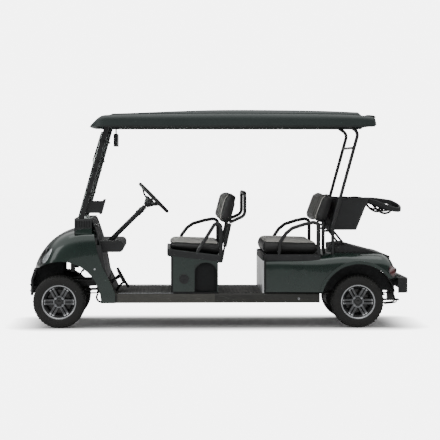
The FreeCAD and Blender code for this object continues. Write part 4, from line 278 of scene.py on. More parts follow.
def lathe(profile: Sequence[Sequence[float]], steps: int, closed: bool = False) -> Form:
    """A turned form about the local Z axis: each profile point (radius, height) goes round a circle.

    Args:
        profile: radius and height of each point.
        steps: how many places round the circle.
        closed: whether the profile returns to its start; otherwise its ends are capped.

    Returns:
        The turned form.
    """
    line = np.array(profile, float)
    angle = round_angles(steps)[None, :]
    radius = line[:, 0][:, None]
    height = np.broadcast_to(line[:, 1][:, None], (len(line), steps))
    grid = np.stack([radius * np.cos(angle), radius * np.sin(angle), height], axis=2)
    return grid_form(grid, wrap_rows=closed, wrap_columns=True, capped=not closed)


def sweep(path: Array, section: Array, side: Place, closed: bool = False) -> Form:
    """A section carried along a path: at each place its first axis lies along the side way made
    square to the path, and its second across both.

    Args:
        path: the places passed.
        section: points in a plane, or one such outline for each place.
        side: a way that the path never points along.
        closed: whether the path returns to its start.

    Returns:
        The swept form, capped where it is open.
    """
    ahead = np.roll(path, -1, axis=0) - np.roll(path, 1, axis=0)
    if not closed:
        ahead[0] = path[1] - path[0]
        ahead[-1] = path[-1] - path[-2]
    ahead = unit(ahead)
    first = unit(np.array(side, float) - ahead * (ahead @ np.array(side, float))[:, None])
    second = np.cross(ahead, first)
    flat = np.broadcast_to(section, (len(path), *section.shape[-2:]))
    grid = path[:, None] + flat[..., :1] * first[:, None] + flat[..., 1:] * second[:, None]
    return grid_form(grid, wrap_rows=closed, wrap_columns=True, capped=not closed)


def tube(points: Sequence[Place], radius: float, side: Place, steps: int = 48, around: int = 14) -> Form:
    """A round bar on a smooth line through points."""
    return sweep(smooth_line(points, steps), circle(radius, around), side)


# Materials from nodes
def srgb(red: int, green: int, blue: int) -> Colour:
    """A screen colour as the linear colour that the shader takes."""
    parts = np.array([red, green, blue]) / 255
    linear = np.where(parts < 0.04045, parts / 12.92, ((parts + 0.055) / 1.055) ** 2.4)
    return (*linear.tolist(), 1.0)


class Grain(Enum):
    """How the surface of a finish is worked."""

    PEEL = "orange peel of sprayed paint"
    MOULDED = "fine leather grain of a moulding"
    CAST = "rough cast skin"
    BRUSHED = "fine lines in one direction"
    PEBBLE = "pebbled vinyl"
    WEAVE = "plain weave"
    RIBBED = "even ribs"
    FACETS = "lamp facets"


class Nodes:
    """Lays out and joins the nodes of one tree."""

    def __init__(self, tree: bpy.types.NodeTree) -> None:
        """Takes the tree."""
        self.tree = tree

    def fill(self, socket: Socket, value: object) -> None:
        """Sets an input to a value, or links it to another node's output."""
        if isinstance(value, Socket):
            self.tree.links.new(value, socket)
        else:
            socket.default_value = value

    def node(self, kind: str, values: dict, **settings: object) -> bpy.types.Node:
        """Adds a node.

        Args:
            kind: Blender's name of the node.
            values: input name or number, to a number, a colour or another node's output.
            settings: the node's own choices.

        Returns:
            The node.
        """
        made = self.tree.nodes.new(kind)
        for key, value in settings.items():
            setattr(made, key, value)
        for key, value in values.items():
            self.fill(made.inputs[key], value)
        return made

    def calc(self, operation: str, first: Value, second: Value = 0.0, **settings: object) -> Socket:
        """A sum of two values, their product, or what else the operation names."""
        values = {0: first, 1: second}
        return self.node("ShaderNodeMath", values, operation=operation, **settings).outputs[0]

    def product(self, first: Value, second: Value) -> Socket:
        """Two values multiplied."""
        return self.calc("MULTIPLY", first, second)

    def spread(self, value: Socket, low: float, high: float, to_low: Value, to_high: Value,
               **settings: object) -> Socket:
        """A value read from one range into another, held at its ends."""
        values = {"Value": value, "From Min": low, "From Max": high, "To Min": to_low, "To Max": to_high}
        return self.node("ShaderNodeMapRange", values, **settings).outputs["Result"]


class Bench(Nodes):
    """Lays out the nodes of one material round its principled shader."""

    def __init__(self, name: str) -> None:
        """Starts a material with object coordinates at hand."""
        self.material = bpy.data.materials.new(name)
        self.material.use_nodes = True
        super().__init__(self.material.node_tree)
        self.tree.nodes.clear()
        output = self.node("ShaderNodeOutputMaterial", {})
        self.shader = self.node("ShaderNodeBsdfPrincipled", {})
        self.fill(output.inputs["Surface"], self.shader.outputs["BSDF"])
        self.coords = self.node("ShaderNodeTexCoord", {}).outputs["Object"]

    def stretched(self, scale: Place) -> Socket:
        """Object coordinates scaled by axis."""
        return self.node("ShaderNodeMapping", {"Vector": self.coords, "Scale": scale}).outputs["Vector"]

    def noise(self, size: float, detail: float = 3.0, where: Socket | None = None) -> Socket:
        """Soft noise with features of about the given size in metres."""
        values = {"Vector": where or self.coords, "Scale": 1 / size, "Detail": detail, "Roughness": 0.55}
        return self.node("ShaderNodeTexNoise", values).outputs[0]

    def cells(self, size: float, edge: bool, where: Socket) -> Socket:
        """Distance within cells of about the given size, from their middles or their edges."""
        feature = "DISTANCE_TO_EDGE" if edge else "F1"
        values = {"Vector": where, "Scale": 1 / size}
        return self.node("ShaderNodeTexVoronoi", values, feature=feature).outputs["Distance"]

    def waves(self, size: float, axis: str, where: Socket) -> Socket:
        """Even bands a given distance apart along an axis."""
        values = {"Vector": where, "Scale": WAVE_SCALE / size, "Distortion": 0.0}
        return self.node("ShaderNodeTexWave", values, bands_direction=axis, wave_profile="SIN").outputs[0]

    def blend(self, share: Value, first: object, second: object) -> Socket:
        """Two colours mixed."""
        return self.node("ShaderNodeMix", {0: share, 6: first, 7: second}, data_type="RGBA").outputs[2]

    def bump(self, height: Socket, depth: float, under: Socket | None = None) -> Socket:
        """A bumped normal.

        Args:
            height: how high each place stands, from zero to one.
            depth: the depth in metres.
            under: the normal that it is laid over.

        Returns:
            The normal.
        """
        values = {"Height": height, "Distance": depth, "Strength": 1.0}
        if under is not None:
            values["Normal"] = under
        return self.node("ShaderNodeBump", values).outputs["Normal"]

    def feed(self, **inputs: object) -> None:
        """Sets the shader's inputs, named with underscores for spaces."""
        for key, value in inputs.items():
            self.fill(self.shader.inputs[key.replace("_", " ")], value)


MADE: dict[str, bpy.types.Material] = {}
DUST = srgb(96, 93, 88)
WHITE = (1.0, 1.0, 1.0, 1.0)
# How finely the noise of a grain is broken up
NOISE_DETAIL = {Grain.PEEL: 1.0, Grain.CAST: 6.0, Grain.BRUSHED: 3.0}


@dataclass(frozen=True)
class Finish:
    """A finish: two colours that cloud into each other, a worked surface, and a little road dust."""

    name: str
    slot: str
    colour: Rgb
    shade: Rgb
    rough: Pair
    grain: Grain
    size: float
    depth: float
    cloud: float = 0.11
    metallic: float = 0.0
    coat: float = 0.0
    coat_rough: float = 0.1
    specular: float = 0.5
    dust: float = 0.0
    scuff: float = 0.0
    stretch: Place = (1.0, 1.0, 1.0)

    def like(self, name: str, colour: Rgb, shade: Rgb, rough: Pair,
             **changes: float) -> "Finish":
        """The same surface under another name, in other colours."""
        return replace(self, name=name, colour=colour, shade=shade, rough=rough, **changes)

    def material(self) -> bpy.types.Material:
        """The finish as a material, made once."""
        if self.name not in MADE:
            MADE[self.name] = self.make()
        return MADE[self.name]

    def make(self) -> bpy.types.Material:
        """Lays out the nodes: clouds and dust into colour and roughness, grain into bump."""
        bench = Bench(self.name)
        base, shade = srgb(*self.colour), srgb(*self.shade)
        clouds = bench.noise(self.cloud, 5.0)
        fine = bench.noise(self.size * 3, 2.0)
        colour = bench.blend(bench.spread(clouds, 0.35, 0.68, 0.0, 1.0), base, shade)
        rough = bench.spread(clouds, 0.3, 0.7, *self.rough)
        if self.scuff:
            marks = bench.noise(0.004, 4.0, bench.stretched((1.0, 0.25, 3.0)))
            worn = bench.product(bench.spread(marks, 0.66, 0.72, 0.0, 1.0), self.scuff)
            pale = tuple(min(1.0, part * 3 + 0.03) for part in base[:3]) + (1.0,)
            colour = bench.blend(worn, colour, pale)
        if self.dust:
            height = bench.node("ShaderNodeSeparateXYZ", {0: bench.coords}).outputs["Z"]
            low = bench.spread(height, 0.05, 0.75, 1.0, 0.0)
            patchy = bench.spread(bench.noise(0.03, 6.0), 0.4, 0.75, 0.2, 1.0)
            dusty = bench.product(bench.product(low, patchy), self.dust)
            colour = bench.blend(dusty, colour, DUST)
            rough = bench.calc("ADD", rough, bench.product(dusty, 0.5), use_clamp=True)
        colour = bench.blend(bench.spread(fine, 0.3, 0.7, 0.0, 0.16), colour, shade)
        bench.feed(Base_Color=colour, Roughness=rough, Normal=self.relief(bench))
        bench.feed(Metallic=self.metallic, Specular_IOR_Level=self.specular)
        bench.feed(Coat_Weight=self.coat, Coat_Roughness=self.coat_rough)
        return bench.material

    def relief(self, bench: Bench) -> Socket:
        """The bumped normal of the finish's grain over soft unevenness.

        Args:
            bench: where the nodes are laid out.

        Returns:
            The normal.
        """
        under = bench.bump(bench.noise(0.05, 2.0), self.depth * 0.6)
        where = bench.stretched(self.stretch)
        if self.grain in NOISE_DETAIL:
            height = bench.noise(self.size, NOISE_DETAIL[self.grain], where)
        elif self.grain is Grain.FACETS:
            height = bench.cells(self.size, False, where)
        elif self.grain is Grain.RIBBED:
            height = bench.waves(self.size, "X", where)
        elif self.grain is Grain.WEAVE:
            under = bench.bump(bench.waves(self.size, "X", where), self.depth, under)
            height = bench.waves(self.size, "Z", where)
        else:
            height = bench.spread(bench.cells(self.size, True, where), 0.0, 0.25, 0.0, 1.0)
        return bench.bump(height, self.depth, under)


@dataclass(frozen=True)
class Glass:
    """A clear sheet, with a slight tint, faint wipe marks and uneven gloss."""

    name: str
    slot: str
    tint: Rgb
    rough: Pair = (0.0, 0.06)
    index: float = 1.49

    def material(self) -> bpy.types.Material:
        """The glass as a material, made once."""
        if self.name not in MADE:
            bench = Bench(self.name)
            wipes = bench.noise(0.03, 6.0, bench.stretched((1.0, 0.2, 1.0)))
            film = bench.noise(0.2, 3.0)
            tint = srgb(*self.tint)
            pale = tuple(part * 0.86 for part in tint[:3]) + (1.0,)
            bench.feed(Base_Color=bench.blend(bench.spread(film, 0.3, 0.7, 0.0, 0.5), tint, pale))
            bench.feed(Roughness=bench.spread(wipes, 0.4, 0.75, *self.rough))
            bench.feed(Normal=bench.bump(film, 0.0004), IOR=self.index, Transmission_Weight=1.0)
            MADE[self.name] = bench.material
        return MADE[self.name]


GREEN = Finish("green_paint", "green", (19, 36, 31), (24, 42, 36), (0.22, 0.32), Grain.PEEL, 0.004, 4e-5,
               cloud=0.3, metallic=0.2, coat=0.7, coat_rough=0.05, specular=0.4, dust=0.05)
ROOF_GREEN = Finish("roof_green", "green", (27, 38, 36), (33, 44, 42), (0.48, 0.6), Grain.PEEL, 0.005, 6e-5,
                    cloud=0.4, coat=0.1, coat_rough=0.2, specular=0.4)
ROOF_TRIM = ROOF_GREEN.like("roof_edge_black", (22, 27, 27), (30, 35, 35), (0.42, 0.55), cloud=0.3)
MOULDING = Finish("black_moulding", "black", (30, 31, 32), (38, 39, 40), (0.46, 0.6), Grain.MOULDED, 0.0016, 1.8e-4,
                  cloud=0.09, specular=0.35, dust=0.06, scuff=0.12)
SOFT_BLACK = MOULDING.like("shadow_black", (18, 19, 20), (25, 26, 27), (0.6, 0.75), specular=0.25, dust=0.05, scuff=0.1)
# The lighter sill finish is painted sheen on the black rockers; the darker copy below is their own colour.
SILL_SHEEN = Finish("sill_moulding", "black", (60, 60, 56), (68, 67, 63), (0.45, 0.6), Grain.MOULDED, 0.0018, 2e-4,
              cloud=0.12, specular=0.4, dust=0.1, scuff=0.25)
SILL_DARK = SILL_SHEEN.like("dark_sill_moulding", (38, 38, 36), (45, 45, 42), (0.45, 0.6))
POWDER = Finish("black_powder_coat", "steel", (25, 26, 27), (33, 34, 35), (0.3, 0.42), Grain.CAST, 0.0016, 6e-5,
                cloud=0.08, metallic=0.1, coat=0.15, coat_rough=0.2, specular=0.45, dust=0.04, scuff=0.1)
CASTING = Finish("dark_casting", "steel", (30, 30, 31), (44, 42, 40), (0.5, 0.72), Grain.CAST, 0.004, 5e-4,
                 cloud=0.05, metallic=0.4, specular=0.4, dust=0.12)
ZINC = Finish("zinc", "steel", (168, 170, 172), (128, 130, 134), (0.26, 0.42), Grain.CAST, 0.002, 1e-4,
              cloud=0.02, metallic=1.0, dust=0.05)
RUBBER = Finish("tyre_rubber", "tyre", (29, 29, 29), (37, 37, 36), (0.68, 0.86), Grain.CAST, 0.0014, 2e-4,
                cloud=0.06, specular=0.3, dust=0.06)
RIM_BLACK = Finish("rim_black", "alloy", (20, 21, 22), (28, 29, 30), (0.22, 0.36), Grain.PEEL, 0.003, 4e-5,
                   cloud=0.06, metallic=0.1, coat=0.5, coat_rough=0.06, specular=0.45, dust=0.04)
RIM_GREY = Finish("rim_gunmetal", "alloy", (74, 75, 77), (92, 93, 95), (0.26, 0.42), Grain.CAST, 0.002, 6e-5,
                  cloud=0.05, metallic=0.5, coat=0.3, dust=0.03)
MACHINED = Finish("rim_machined", "alloy", (190, 192, 194), (156, 158, 161), (0.2, 0.34), Grain.BRUSHED, 0.001, 5e-5,
                  cloud=0.04, metallic=0.85, coat=0.3, coat_rough=0.05, dust=0.03)
TAUPE = Finish("taupe_vinyl", "tan", (158, 156, 151), (172, 170, 165), (0.4, 0.54), Grain.PEBBLE, 0.003, 3e-4,
               cloud=0.12, specular=0.4)
GREY_VINYL = TAUPE.like("grey_vinyl", (74, 74, 71), (92, 91, 88), (0.4, 0.54))
DARK_VINYL = TAUPE.like("dark_vinyl", (30, 31, 31), (38, 38, 38), (0.36, 0.5))
THREAD = Finish("pale_thread", "tan", (206, 204, 198), (178, 176, 170), (0.6, 0.8), Grain.WEAVE, 0.0008, 2e-4,
                cloud=0.02, coat_rough=0.04)
# Near-white and mostly matt: partly the kick panel's own silver, partly a painted reflection of the pale surroundings.
SILVER_AND_REFLECTION = Finish("silver_panel_painted_reflection", "silver", (232, 233, 234), (214, 216, 218), (0.32, 0.44), Grain.BRUSHED, 0.003, 8e-5,
                cloud=0.2, metallic=0.25, coat=0.3, dust=0.04, stretch=(1.0, 1.0, 24.0))
CHROME = Finish("bright_metal", "silver", (206, 208, 210), (176, 178, 182), (0.14, 0.26), Grain.BRUSHED, 0.002, 4e-5,
                cloud=0.05, metallic=1.0, stretch=(8.0, 1.0, 1.0))
MAT = Finish("rubber_mat", "floor", (40, 40, 38), (52, 51, 48), (0.55, 0.72), Grain.RIBBED, 0.016, 0.0012,
             cloud=0.09, specular=0.35, dust=0.12)
HARD_BLACK = Finish("gloss_black", "trim", (15, 16, 17), (22, 23, 24), (0.1, 0.2), Grain.PEEL, 0.004, 4e-5,
                    cloud=0.06, coat=0.6, coat_rough=0.04)
WHEEL_GRIP = Finish("soft_grip", "trim", (25, 25, 26), (34, 34, 34), (0.5, 0.66), Grain.MOULDED, 0.0014, 2e-4,
                    cloud=0.05, coat_rough=0.04)
RED_LENS = Finish("red_lens", "red_lamp", (84, 14, 18), (48, 10, 13), (0.1, 0.2), Grain.FACETS, 0.006, 0.0012,
                  cloud=0.03, coat=1.0, coat_rough=0.03)
WHITE_LENS = Finish("head_lens", "lamp", (206, 212, 214), (150, 158, 160), (0.08, 0.2), Grain.FACETS, 0.009, 0.002,
                    cloud=0.03, metallic=0.55, coat=1.0, coat_rough=0.02)
MIRROR_FACE = Finish("mirror_face", "mirror", (222, 226, 228), (212, 216, 218), (0.02, 0.05), Grain.PEEL, 0.03, 1e-5,
                     cloud=0.1, metallic=1.0, coat_rough=0.04)
WEBBING = Finish("strap_webbing", "black", (22, 22, 23), (32, 32, 32), (0.7, 0.86), Grain.WEAVE, 0.002, 5e-4,
                 cloud=0.04, coat_rough=0.04)
CLEAR = Glass("clear_acrylic", "clear", (228, 236, 232))


# Pieces
def make_piece(name: str, form: Form, body: str, finishes: Sequence[Finish], sharp: float = CRISP,
               closed: bool = True) -> Piece:
    """Turns a form into a piece that rides on a body.

    Args:
        name: the piece's name.
        form: its surface.
        body: the body that carries it.
        finishes: its finishes, in the order of the form's finish numbers.
        sharp: the angle in degrees past which an edge stays crisp.
        closed: whether the surface is closed, so that its faces are turned outward.

    Returns:
        The object.
    """
    mesh = bpy.data.meshes.new(name)
    mesh.from_pydata(form.points, [], form.faces)
    for finish in finishes:
        mesh.materials.append(finish.material())
    mesh.polygons.foreach_set("material_index", np.array(form.tones, np.int32))
    work = bmesh.new()
    work.from_mesh(mesh)
    bmesh.ops.remove_doubles(work, verts=work.verts, dist=1e-6)
    if closed:
        bmesh.ops.recalc_face_normals(work, faces=work.faces)
    work.to_mesh(mesh)
    work.free()
    mesh.shade_smooth()
    mesh.set_sharp_from_angle(angle=math.radians(sharp))
    piece = bpy.data.objects.new(name, mesh)
    bpy.context.scene.collection.objects.link(piece)
    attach(piece, body)
    LOG.info("made %s, %d faces", name, len(mesh.polygons))
    return piece


def fit(name: str, form: Form, *finishes: Finish, sharp: float = CRISP) -> Piece:
    """Makes a piece that rides on the chassis."""
    return make_piece(name, form, CHASSIS, finishes, sharp)


def read(rows: bpy.types.bpy_prop_collection, key: str) -> Array:
    """Three numbers of each vertex or face of a mesh."""
    values = np.zeros(len(rows) * 3)
    rows.foreach_get(key, values)
    return values.reshape(-1, 3)


def shift(mesh: bpy.types.Mesh, points: Array) -> None:
    """Moves a mesh's vertices to new places."""
    mesh.vertices.foreach_set("co", points.ravel())
    mesh.update()


def soft_step(value: Array, width: float) -> Array:
    """Zero below, one above, with an even ramp of the given width about zero."""
    return np.clip(value / width + 0.5, 0.0, 1.0)


def far_out(radius: float, height: float) -> Callable[[Array], Array]:
    """A test for places beyond a radius about the local Z axis and above a height."""
    return lambda spot: (np.hypot(spot[:, 0], spot[:, 1]) > radius) & (spot[:, 2] > height)


@dataclass
class Wheel:
    """One road wheel: a treaded tyre on a black rim with six double spokes."""

    end: str
    side: str
    x: float
    y: float
    axle_height: float = 0.2295
    tyre_radius: float = 0.2295
    half_width: float = 0.1025
    lug_count: int = 44
    lug_depth: float = 0.0065
    cut_half: float = 0.01125
    groove_place: float = 0.026
    groove_swing: float = 0.009
    groove_half: float = 0.0048
    cut_start: float = 0.031
    cut_lean: float = 14.0
    tread_depth: float = 0.026
    wall_ring: float = 0.0004
    wall_rings: float = 900.0
    steps: int = 432
    rim_half: float = 0.089
    lip_radius: float = 0.150
    lip_face: float = 0.0988
    bead_radius: float = 0.127
    hub_radius: float = 0.059
    bore: float = 0.03
    face: float = 0.077
    spoke_count: int = 6
    twin_half: float = 0.0142
    nut_circle: float = 0.044
    nut_count: int = 4

    def centre(self) -> Place:
        """The wheel's middle."""
        return (self.x, self.y, self.axle_height)

    def place(self, form: Form) -> Form:
        """Carries a form from the wheel's own frame, where Z points out of the cart."""
        return form.framed(self.centre(), X_WAY, (0, 0, -SIDES[self.side]))

    def tyre_form(self) -> Form:
        """The tyre: its section of bead, bulged wall, shoulder and tread goes round a circle, and
        the radius drops in the grooves, which are two zigzags near the middle and cross cuts that
        run out over the shoulders, staggered from side to side."""
        high = self.tyre_radius
        half = np.array([
            (0.0, 0.0), (0.5, 0.0006), (0.74, 0.003), (0.86, 0.0075), (0.93, 0.016), (0.975, 0.03), (1.0, 0.05),
            (0.99, 0.068), (0.94, 0.083), (0.88, 0.0935), (0.8, high - self.bead_radius),
        ]) * (self.half_width, -1) + (0, high)
        line = smooth_line(np.vstack([half[::-1] * (-1, 1), half[1:]]), 84)
        angle = round_angles(self.steps)
        across, radius = line[:, :1], line[:, 1:]
        turn = angle[None, :] * self.lug_count
        zigzag = np.abs((turn / math.pi) % 2 - 1) - 0.5
        off_groove = np.abs(np.abs(across) - self.groove_place - self.groove_swing * zigzag)
        groove = soft_step(self.groove_half - off_groove, 0.0016)
        stagger = np.where(across > 0, math.pi, 0.0) + np.abs(across) * self.cut_lean
        cut_edge = math.cos(self.cut_half * self.lug_count / high)
        cut = soft_step(np.cos(turn + stagger) - cut_edge, 0.12)
        cut = cut * soft_step(np.abs(across) - self.cut_start, 0.002)
        depth = np.maximum(groove, cut) * self.lug_depth * soft_step(radius - (high - self.tread_depth), 0.004)
        rings = np.sin((high - radius) * self.wall_rings) * self.wall_ring
        rings = rings * soft_step(high - 0.034 - radius, 0.003)
        out = np.broadcast_to(across + np.sign(across) * rings, depth.shape)
        tread = radius - depth
        return grid_form(np.stack([tread * np.cos(angle), tread * np.sin(angle), out], 2), wrap_columns=True)

    def barrel_form(self) -> Form:
        """The rim's barrel with rolled lips, its back web and hub, turned about the axle."""
        lip, bead, half, rim, bore = self.lip_radius, self.bead_radius, self.rim_half, self.lip_face, self.bore
        well, inside = bead - 0.014, bead - 0.02
        barrel = lathe([
            (inside, -0.025), (inside, 0.058), (bead - 0.006, 0.078), (lip - 0.013, rim - 0.006),
            (lip - 0.010, rim - 0.0012), (lip - 0.006, rim), (lip - 0.0015, rim - 0.001), (lip, rim - 0.004),
            (lip - 0.003, half - 0.007), (bead, half - 0.008), (bead, 0.028), (well, 0.014), (well, -0.014),
            (bead, -0.028), (bead, 0.007 - half), (lip, 0.005 - half), (lip - 0.002, -half), (lip - 0.01, -half),
            (inside, -0.06), (inside, -0.033), (bore, -0.033), (bore, -0.025),
        ], 96, closed=True)
        hub, face = self.hub_radius, self.face
        core = lathe([
            (bore, -0.03), (hub - 0.006, -0.028), (hub - 0.004, face - 0.022), (hub - 0.007, face - 0.012),
            (0.05, face - 0.008), (0.036, face - 0.006), (0.034, face - 0.012), (0.031, face - 0.012),
            (0.031, face - 0.02),
        ], 72)
        return barrel.toned_where(2, far_out(lip - 0.0125, half)) + core.toned(1)

    def spoke_forms(self) -> Form:
        """Six pairs of bars: each is a rounded section carried from hub to lip on a line that dips
        a little, widening and turning bright where it meets the lip."""
        face = self.face
        path = smooth_line([(0.046, 0, face - 0.012), (0.075, 0, face - 0.014), (0.108, 0, face - 0.01),
                            (0.139, 0, self.rim_half - 0.006)], 18)
        share = np.linspace(0, 1, len(path))[:, None, None]
        widen = np.concatenate([1 + 0.25 * share ** 3, np.ones_like(share)], axis=2)
        bar = sweep(path, round_outline(0.019, 0.015, 0.0035, 4)[None] * widen, Y_WAY)
        bar = bar.toned(1).toned_where(2, far_out(0.119, 0.0725))
        return (bar.moved(0, self.twin_half, 0) + bar.moved(0, -self.twin_half, 0)).ring(self.spoke_count)

    def fittings_form(self) -> Form:
        """Lug nuts in their seats, the centre cap with a rolled edge, bright arcs and the valve."""
        face = self.face
        nut = slab(circle(0.0102, 6), 0, 0.012, 0.0016) + lathe([(0.0118, 0.0), (0.0118, 0.002), (0.0104, 0.0026)], 24)
        nuts = nut.moved(self.nut_circle, 0, face - 0.008).turned(45).ring(self.nut_count).toned(3)
        angle = np.linspace(-0.42, 0.42, 14)
        arc = np.stack([np.cos(angle) * 0.0475, np.sin(angle) * 0.0475, np.full(14, face - 0.006)], 1)
        arcs = sweep(arc, round_outline(0.003, 0.004, 0.001, 3), Z_WAY).ring(self.nut_count).toned(2)
        cap = lathe([
            (0.032, face - 0.016), (0.0325, face - 0.002), (0.031, face + 0.001), (0.028, face + 0.002),
            (0.026, face + 0.001), (0.014, face + 0.0035), (0.0, face + 0.004),
        ], 48)
        valve = lathe([(0.004, 0.0), (0.004, 0.02), (0.003, 0.024), (0.0, 0.0245)], 12)
        return nuts + arcs + cap + valve.framed((0.117, 0, face - 0.03), Y_WAY, (0.35, 0, -1)).turned(30)

    def build(self) -> None:
        """Makes the tyre and the rim in place of their solids."""
        spot = f"{self.end}_{self.side}"
        tyre = make_piece(f"treaded_tyre_{spot}", self.place(self.tyre_form()), f"wheel_{spot}", [RUBBER], 50, False)
        outward = (read(tyre.data.polygons, "center") - np.array(self.centre())) * (1, 0, 1)
        if (outward * read(tyre.data.polygons, "normal")).sum() < 0:
            tyre.data.flip_normals()
        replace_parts(tyre, f"tyre_{spot}")
        form = self.barrel_form() + self.spoke_forms() + self.fittings_form()
        tones = [RIM_BLACK, RIM_GREY, MACHINED, ZINC]
        rim = make_piece(f"spoked_rim_{spot}", self.place(form), f"wheel_{spot}", tones, 42)
        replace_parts(rim, f"rim_{spot}")


# Padding
@dataclass
class Pad:
    """A padded seat part in its own frame: U across the cart, V along its face, W out of its face."""

    name: str
    node: str
    body: str
    width: float
    length: float
    centre: Place
    face_way: Place
    up_way: Place
    thickness: Callable[[Array], tuple[Array, Array]]
    channels: tuple[float, ...]
    corner: float
    edge: float
    crown: float
    waist: float
    voxel: float
    swell_cap: float
    panel_half: float
    panel_low: float
    panel_high: float
    panel_facing: float
    panel_finish: Finish
    channel_half: float = 0.0065
    channel_depth: float = 0.007
    pressure: float = 4.0
    piping_radius: float = 0.0028
    piping_inset: float = 0.035

    def __post_init__(self) -> None:
        """Works out the pad's three ways."""
        self.face = unit(np.array(self.face_way, float))
        self.across = unit(np.cross(np.array(self.up_way, float), self.face))
        self.up = np.cross(self.face, self.across)

    def start_form(self) -> Form:
        """The cut shape before stuffing: a rounded outline with its long sides drawn in between
        the corners, carried over the edge on a quarter circle and closed over a crowned face."""
        outline = round_outline(self.width, self.length, self.corner, 10)
        dense = smooth_line(outline, 220, closed=True)
        pull = 1 - (self.waist / (self.length / 2)) * np.cos(dense[:, :1] / (self.width / 2) * math.pi / 2)
        dense = np.hstack([dense[:, :1], dense[:, 1:] * pull])
        turn = np.linspace(0, math.pi / 2, 6)
        run = self.edge / min(self.width, self.length) * 2
        inner = np.linspace(0, 1 - run, 9)[:-1]
        share = np.concatenate([inner, 1 - run + run * np.sin(turn), 1 - run + run * np.cos(turn), inner[::-1]])
        level = np.concatenate([np.zeros(8), 0.5 * (1 - np.cos(turn)), 0.5 + 0.5 * np.sin(turn), np.ones(8)])
        flat = dense[None] * share[:, None, None]
        low, high = self.thickness(flat[..., 1])
        rise = self.crown * (1 - share[:, None] ** 2) * (level[:, None] > 0.99)
        depth = low + (high - low) * level[:, None] + rise
        form = grid_form(np.concatenate([flat, depth[..., None]], axis=2), wrap_columns=True)
        return form.framed(self.centre, tuple(np.cross(self.up_way, self.face_way)), self.up_way)

    def local(self, points: Array) -> Array:
        """Points read in the pad's own frame."""
        return (points - np.array(self.centre)) @ np.array([self.across, self.up, self.face]).T

    def build(self) -> Piece:
        """Swells the pad under pressure, rests it on its solid and sews it."""
        piece = make_piece(self.name, self.start_form(), self.body, [DARK_VINYL, self.panel_finish], 80)
        modified(piece, "REMESH", mode="VOXEL", voxel_size=self.voxel)
        self.swell(piece)
        self.rest(piece.data)
        modified(piece, "SUBSURF", levels=1, render_levels=1)
        self.sew(piece.data)
        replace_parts(piece, self.node)
        return piece

    def swell(self, piece: Piece) -> None:
        """Stuffs the pad: cloth under inner pressure for twenty frames, with no point moving
        further than the cap."""
        start = read(piece.data.vertices, "co")
        cloth = piece.modifiers.new("stuffing", "CLOTH")
        cloth.settings.use_pressure = True
        cloth.settings.uniform_pressure_force = self.pressure
        cloth.settings.effector_weights.gravity = 0.0
        cloth.settings.quality = 4
        cloth.point_cache.frame_start = 1
        cloth.point_cache.frame_end = CLOTH_FRAMES
        for number in range(1, CLOTH_FRAMES + 1):
            bpy.context.scene.frame_set(number)
        shaped = piece.evaluated_get(bpy.context.evaluated_depsgraph_get()).to_mesh()
        step = read(shaped.vertices, "co") - start
        length = np.maximum(np.linalg.norm(step, axis=1, keepdims=True), 1e-9)
        piece.modifiers.clear()
        shift(piece.data, start + step * np.minimum(1.0, self.swell_cap / length))
        bpy.context.scene.frame_set(1)

    def rest(self, mesh: bpy.types.Mesh) -> None:
        """Presses the pad flat against what carries it: no point lies under its own back plane."""
        points = read(mesh.vertices, "co")
        own = self.local(points)
        short = np.maximum(self.thickness(own[:, 1])[0] - own[:, 2], 0)
        shift(mesh, points + short[:, None] * self.face)

    def in_panel(self, v: Array) -> Array:
        """Which places along V lie between the panel's ends."""
        return (v > self.panel_low) & (v < self.panel_high)

    def sew(self, mesh: bpy.types.Mesh) -> None:
        """Presses the sewn channels in along the surface and gives each face its cloth: a channel
        is a narrow bell-shaped dip across U, deepest on the crowned face.

        Args:
            mesh: the finished pad's mesh.
        """
        points, normals = read(mesh.vertices, "co"), read(mesh.vertices, "normal")
        own = self.local(points)
        facing = np.clip(self.local(points + normals)[:, 2] - own[:, 2], 0, 1)
        off = np.abs(own[:, :1] - np.array(self.channels)).min(axis=1)
        dip = np.exp(-(off / self.channel_half) ** 2)
        shift(mesh, points - normals * (dip * facing * self.in_panel(own[:, 1]) * self.channel_depth)[:, None])
        middles = read(mesh.polygons, "center")
        spots = self.local(middles)
        out = self.local(middles + read(mesh.polygons, "normal")) - spots
        panel = (np.abs(spots[:, 0]) < self.panel_half) & self.in_panel(spots[:, 1]) & (out[:, 2] > self.panel_facing)
        mesh.polygons.foreach_set("material_index", panel.astype(np.int32))
        mesh.shade_smooth()

    def pipe(self, piece: Piece, word: str, side: int) -> None:
        """Lays a round cord on the pad along one side of its panel, found by looking in from far
        out on the face.

        Args:
            piece: the finished pad.
            word: the side's name.
            side: minus one or one.
        """
        tree = BVHTree.FromObject(piece, bpy.context.evaluated_depsgraph_get())
        across, up, face = (Vector(way.tolist()) for way in (self.across, self.up, self.face))
        reach = self.length / 2 - self.piping_inset
        places = np.linspace(max(self.panel_low, -reach), min(self.panel_high, reach), 40)
        start = Vector(self.centre) + across * (self.panel_half * side) + face * 2
        spots = [tree.ray_cast(start + up * v, -face)[0] for v in places]
        path = np.array([tuple(spot) for spot in spots if spot is not None])
        cord = sweep(smooth_line(path, len(path) * 2), circle(self.piping_radius, 8), tuple(face))
        make_piece(f"{self.name}_piping_{word}", cord, self.body, [THREAD])


def modified(piece: Piece, kind: str, **settings: object) -> None:
    """Runs one modifier on a piece and keeps what it makes as the piece's own mesh.

    Args:
        piece: the piece.
        kind: Blender's name of the modifier.
        settings: the modifier's own choices.
    """
    change = piece.modifiers.new(kind.lower(), kind)
    for key, value in settings.items():
        setattr(change, key, value)
    mesh = bpy.data.meshes.new_from_object(piece.evaluated_get(bpy.context.evaluated_depsgraph_get()))
    materials = [slot.material for slot in piece.material_slots]
    piece.modifiers.clear()
    piece.data = mesh
    mesh.materials.clear()
    for material in materials:
        mesh.materials.append(material)


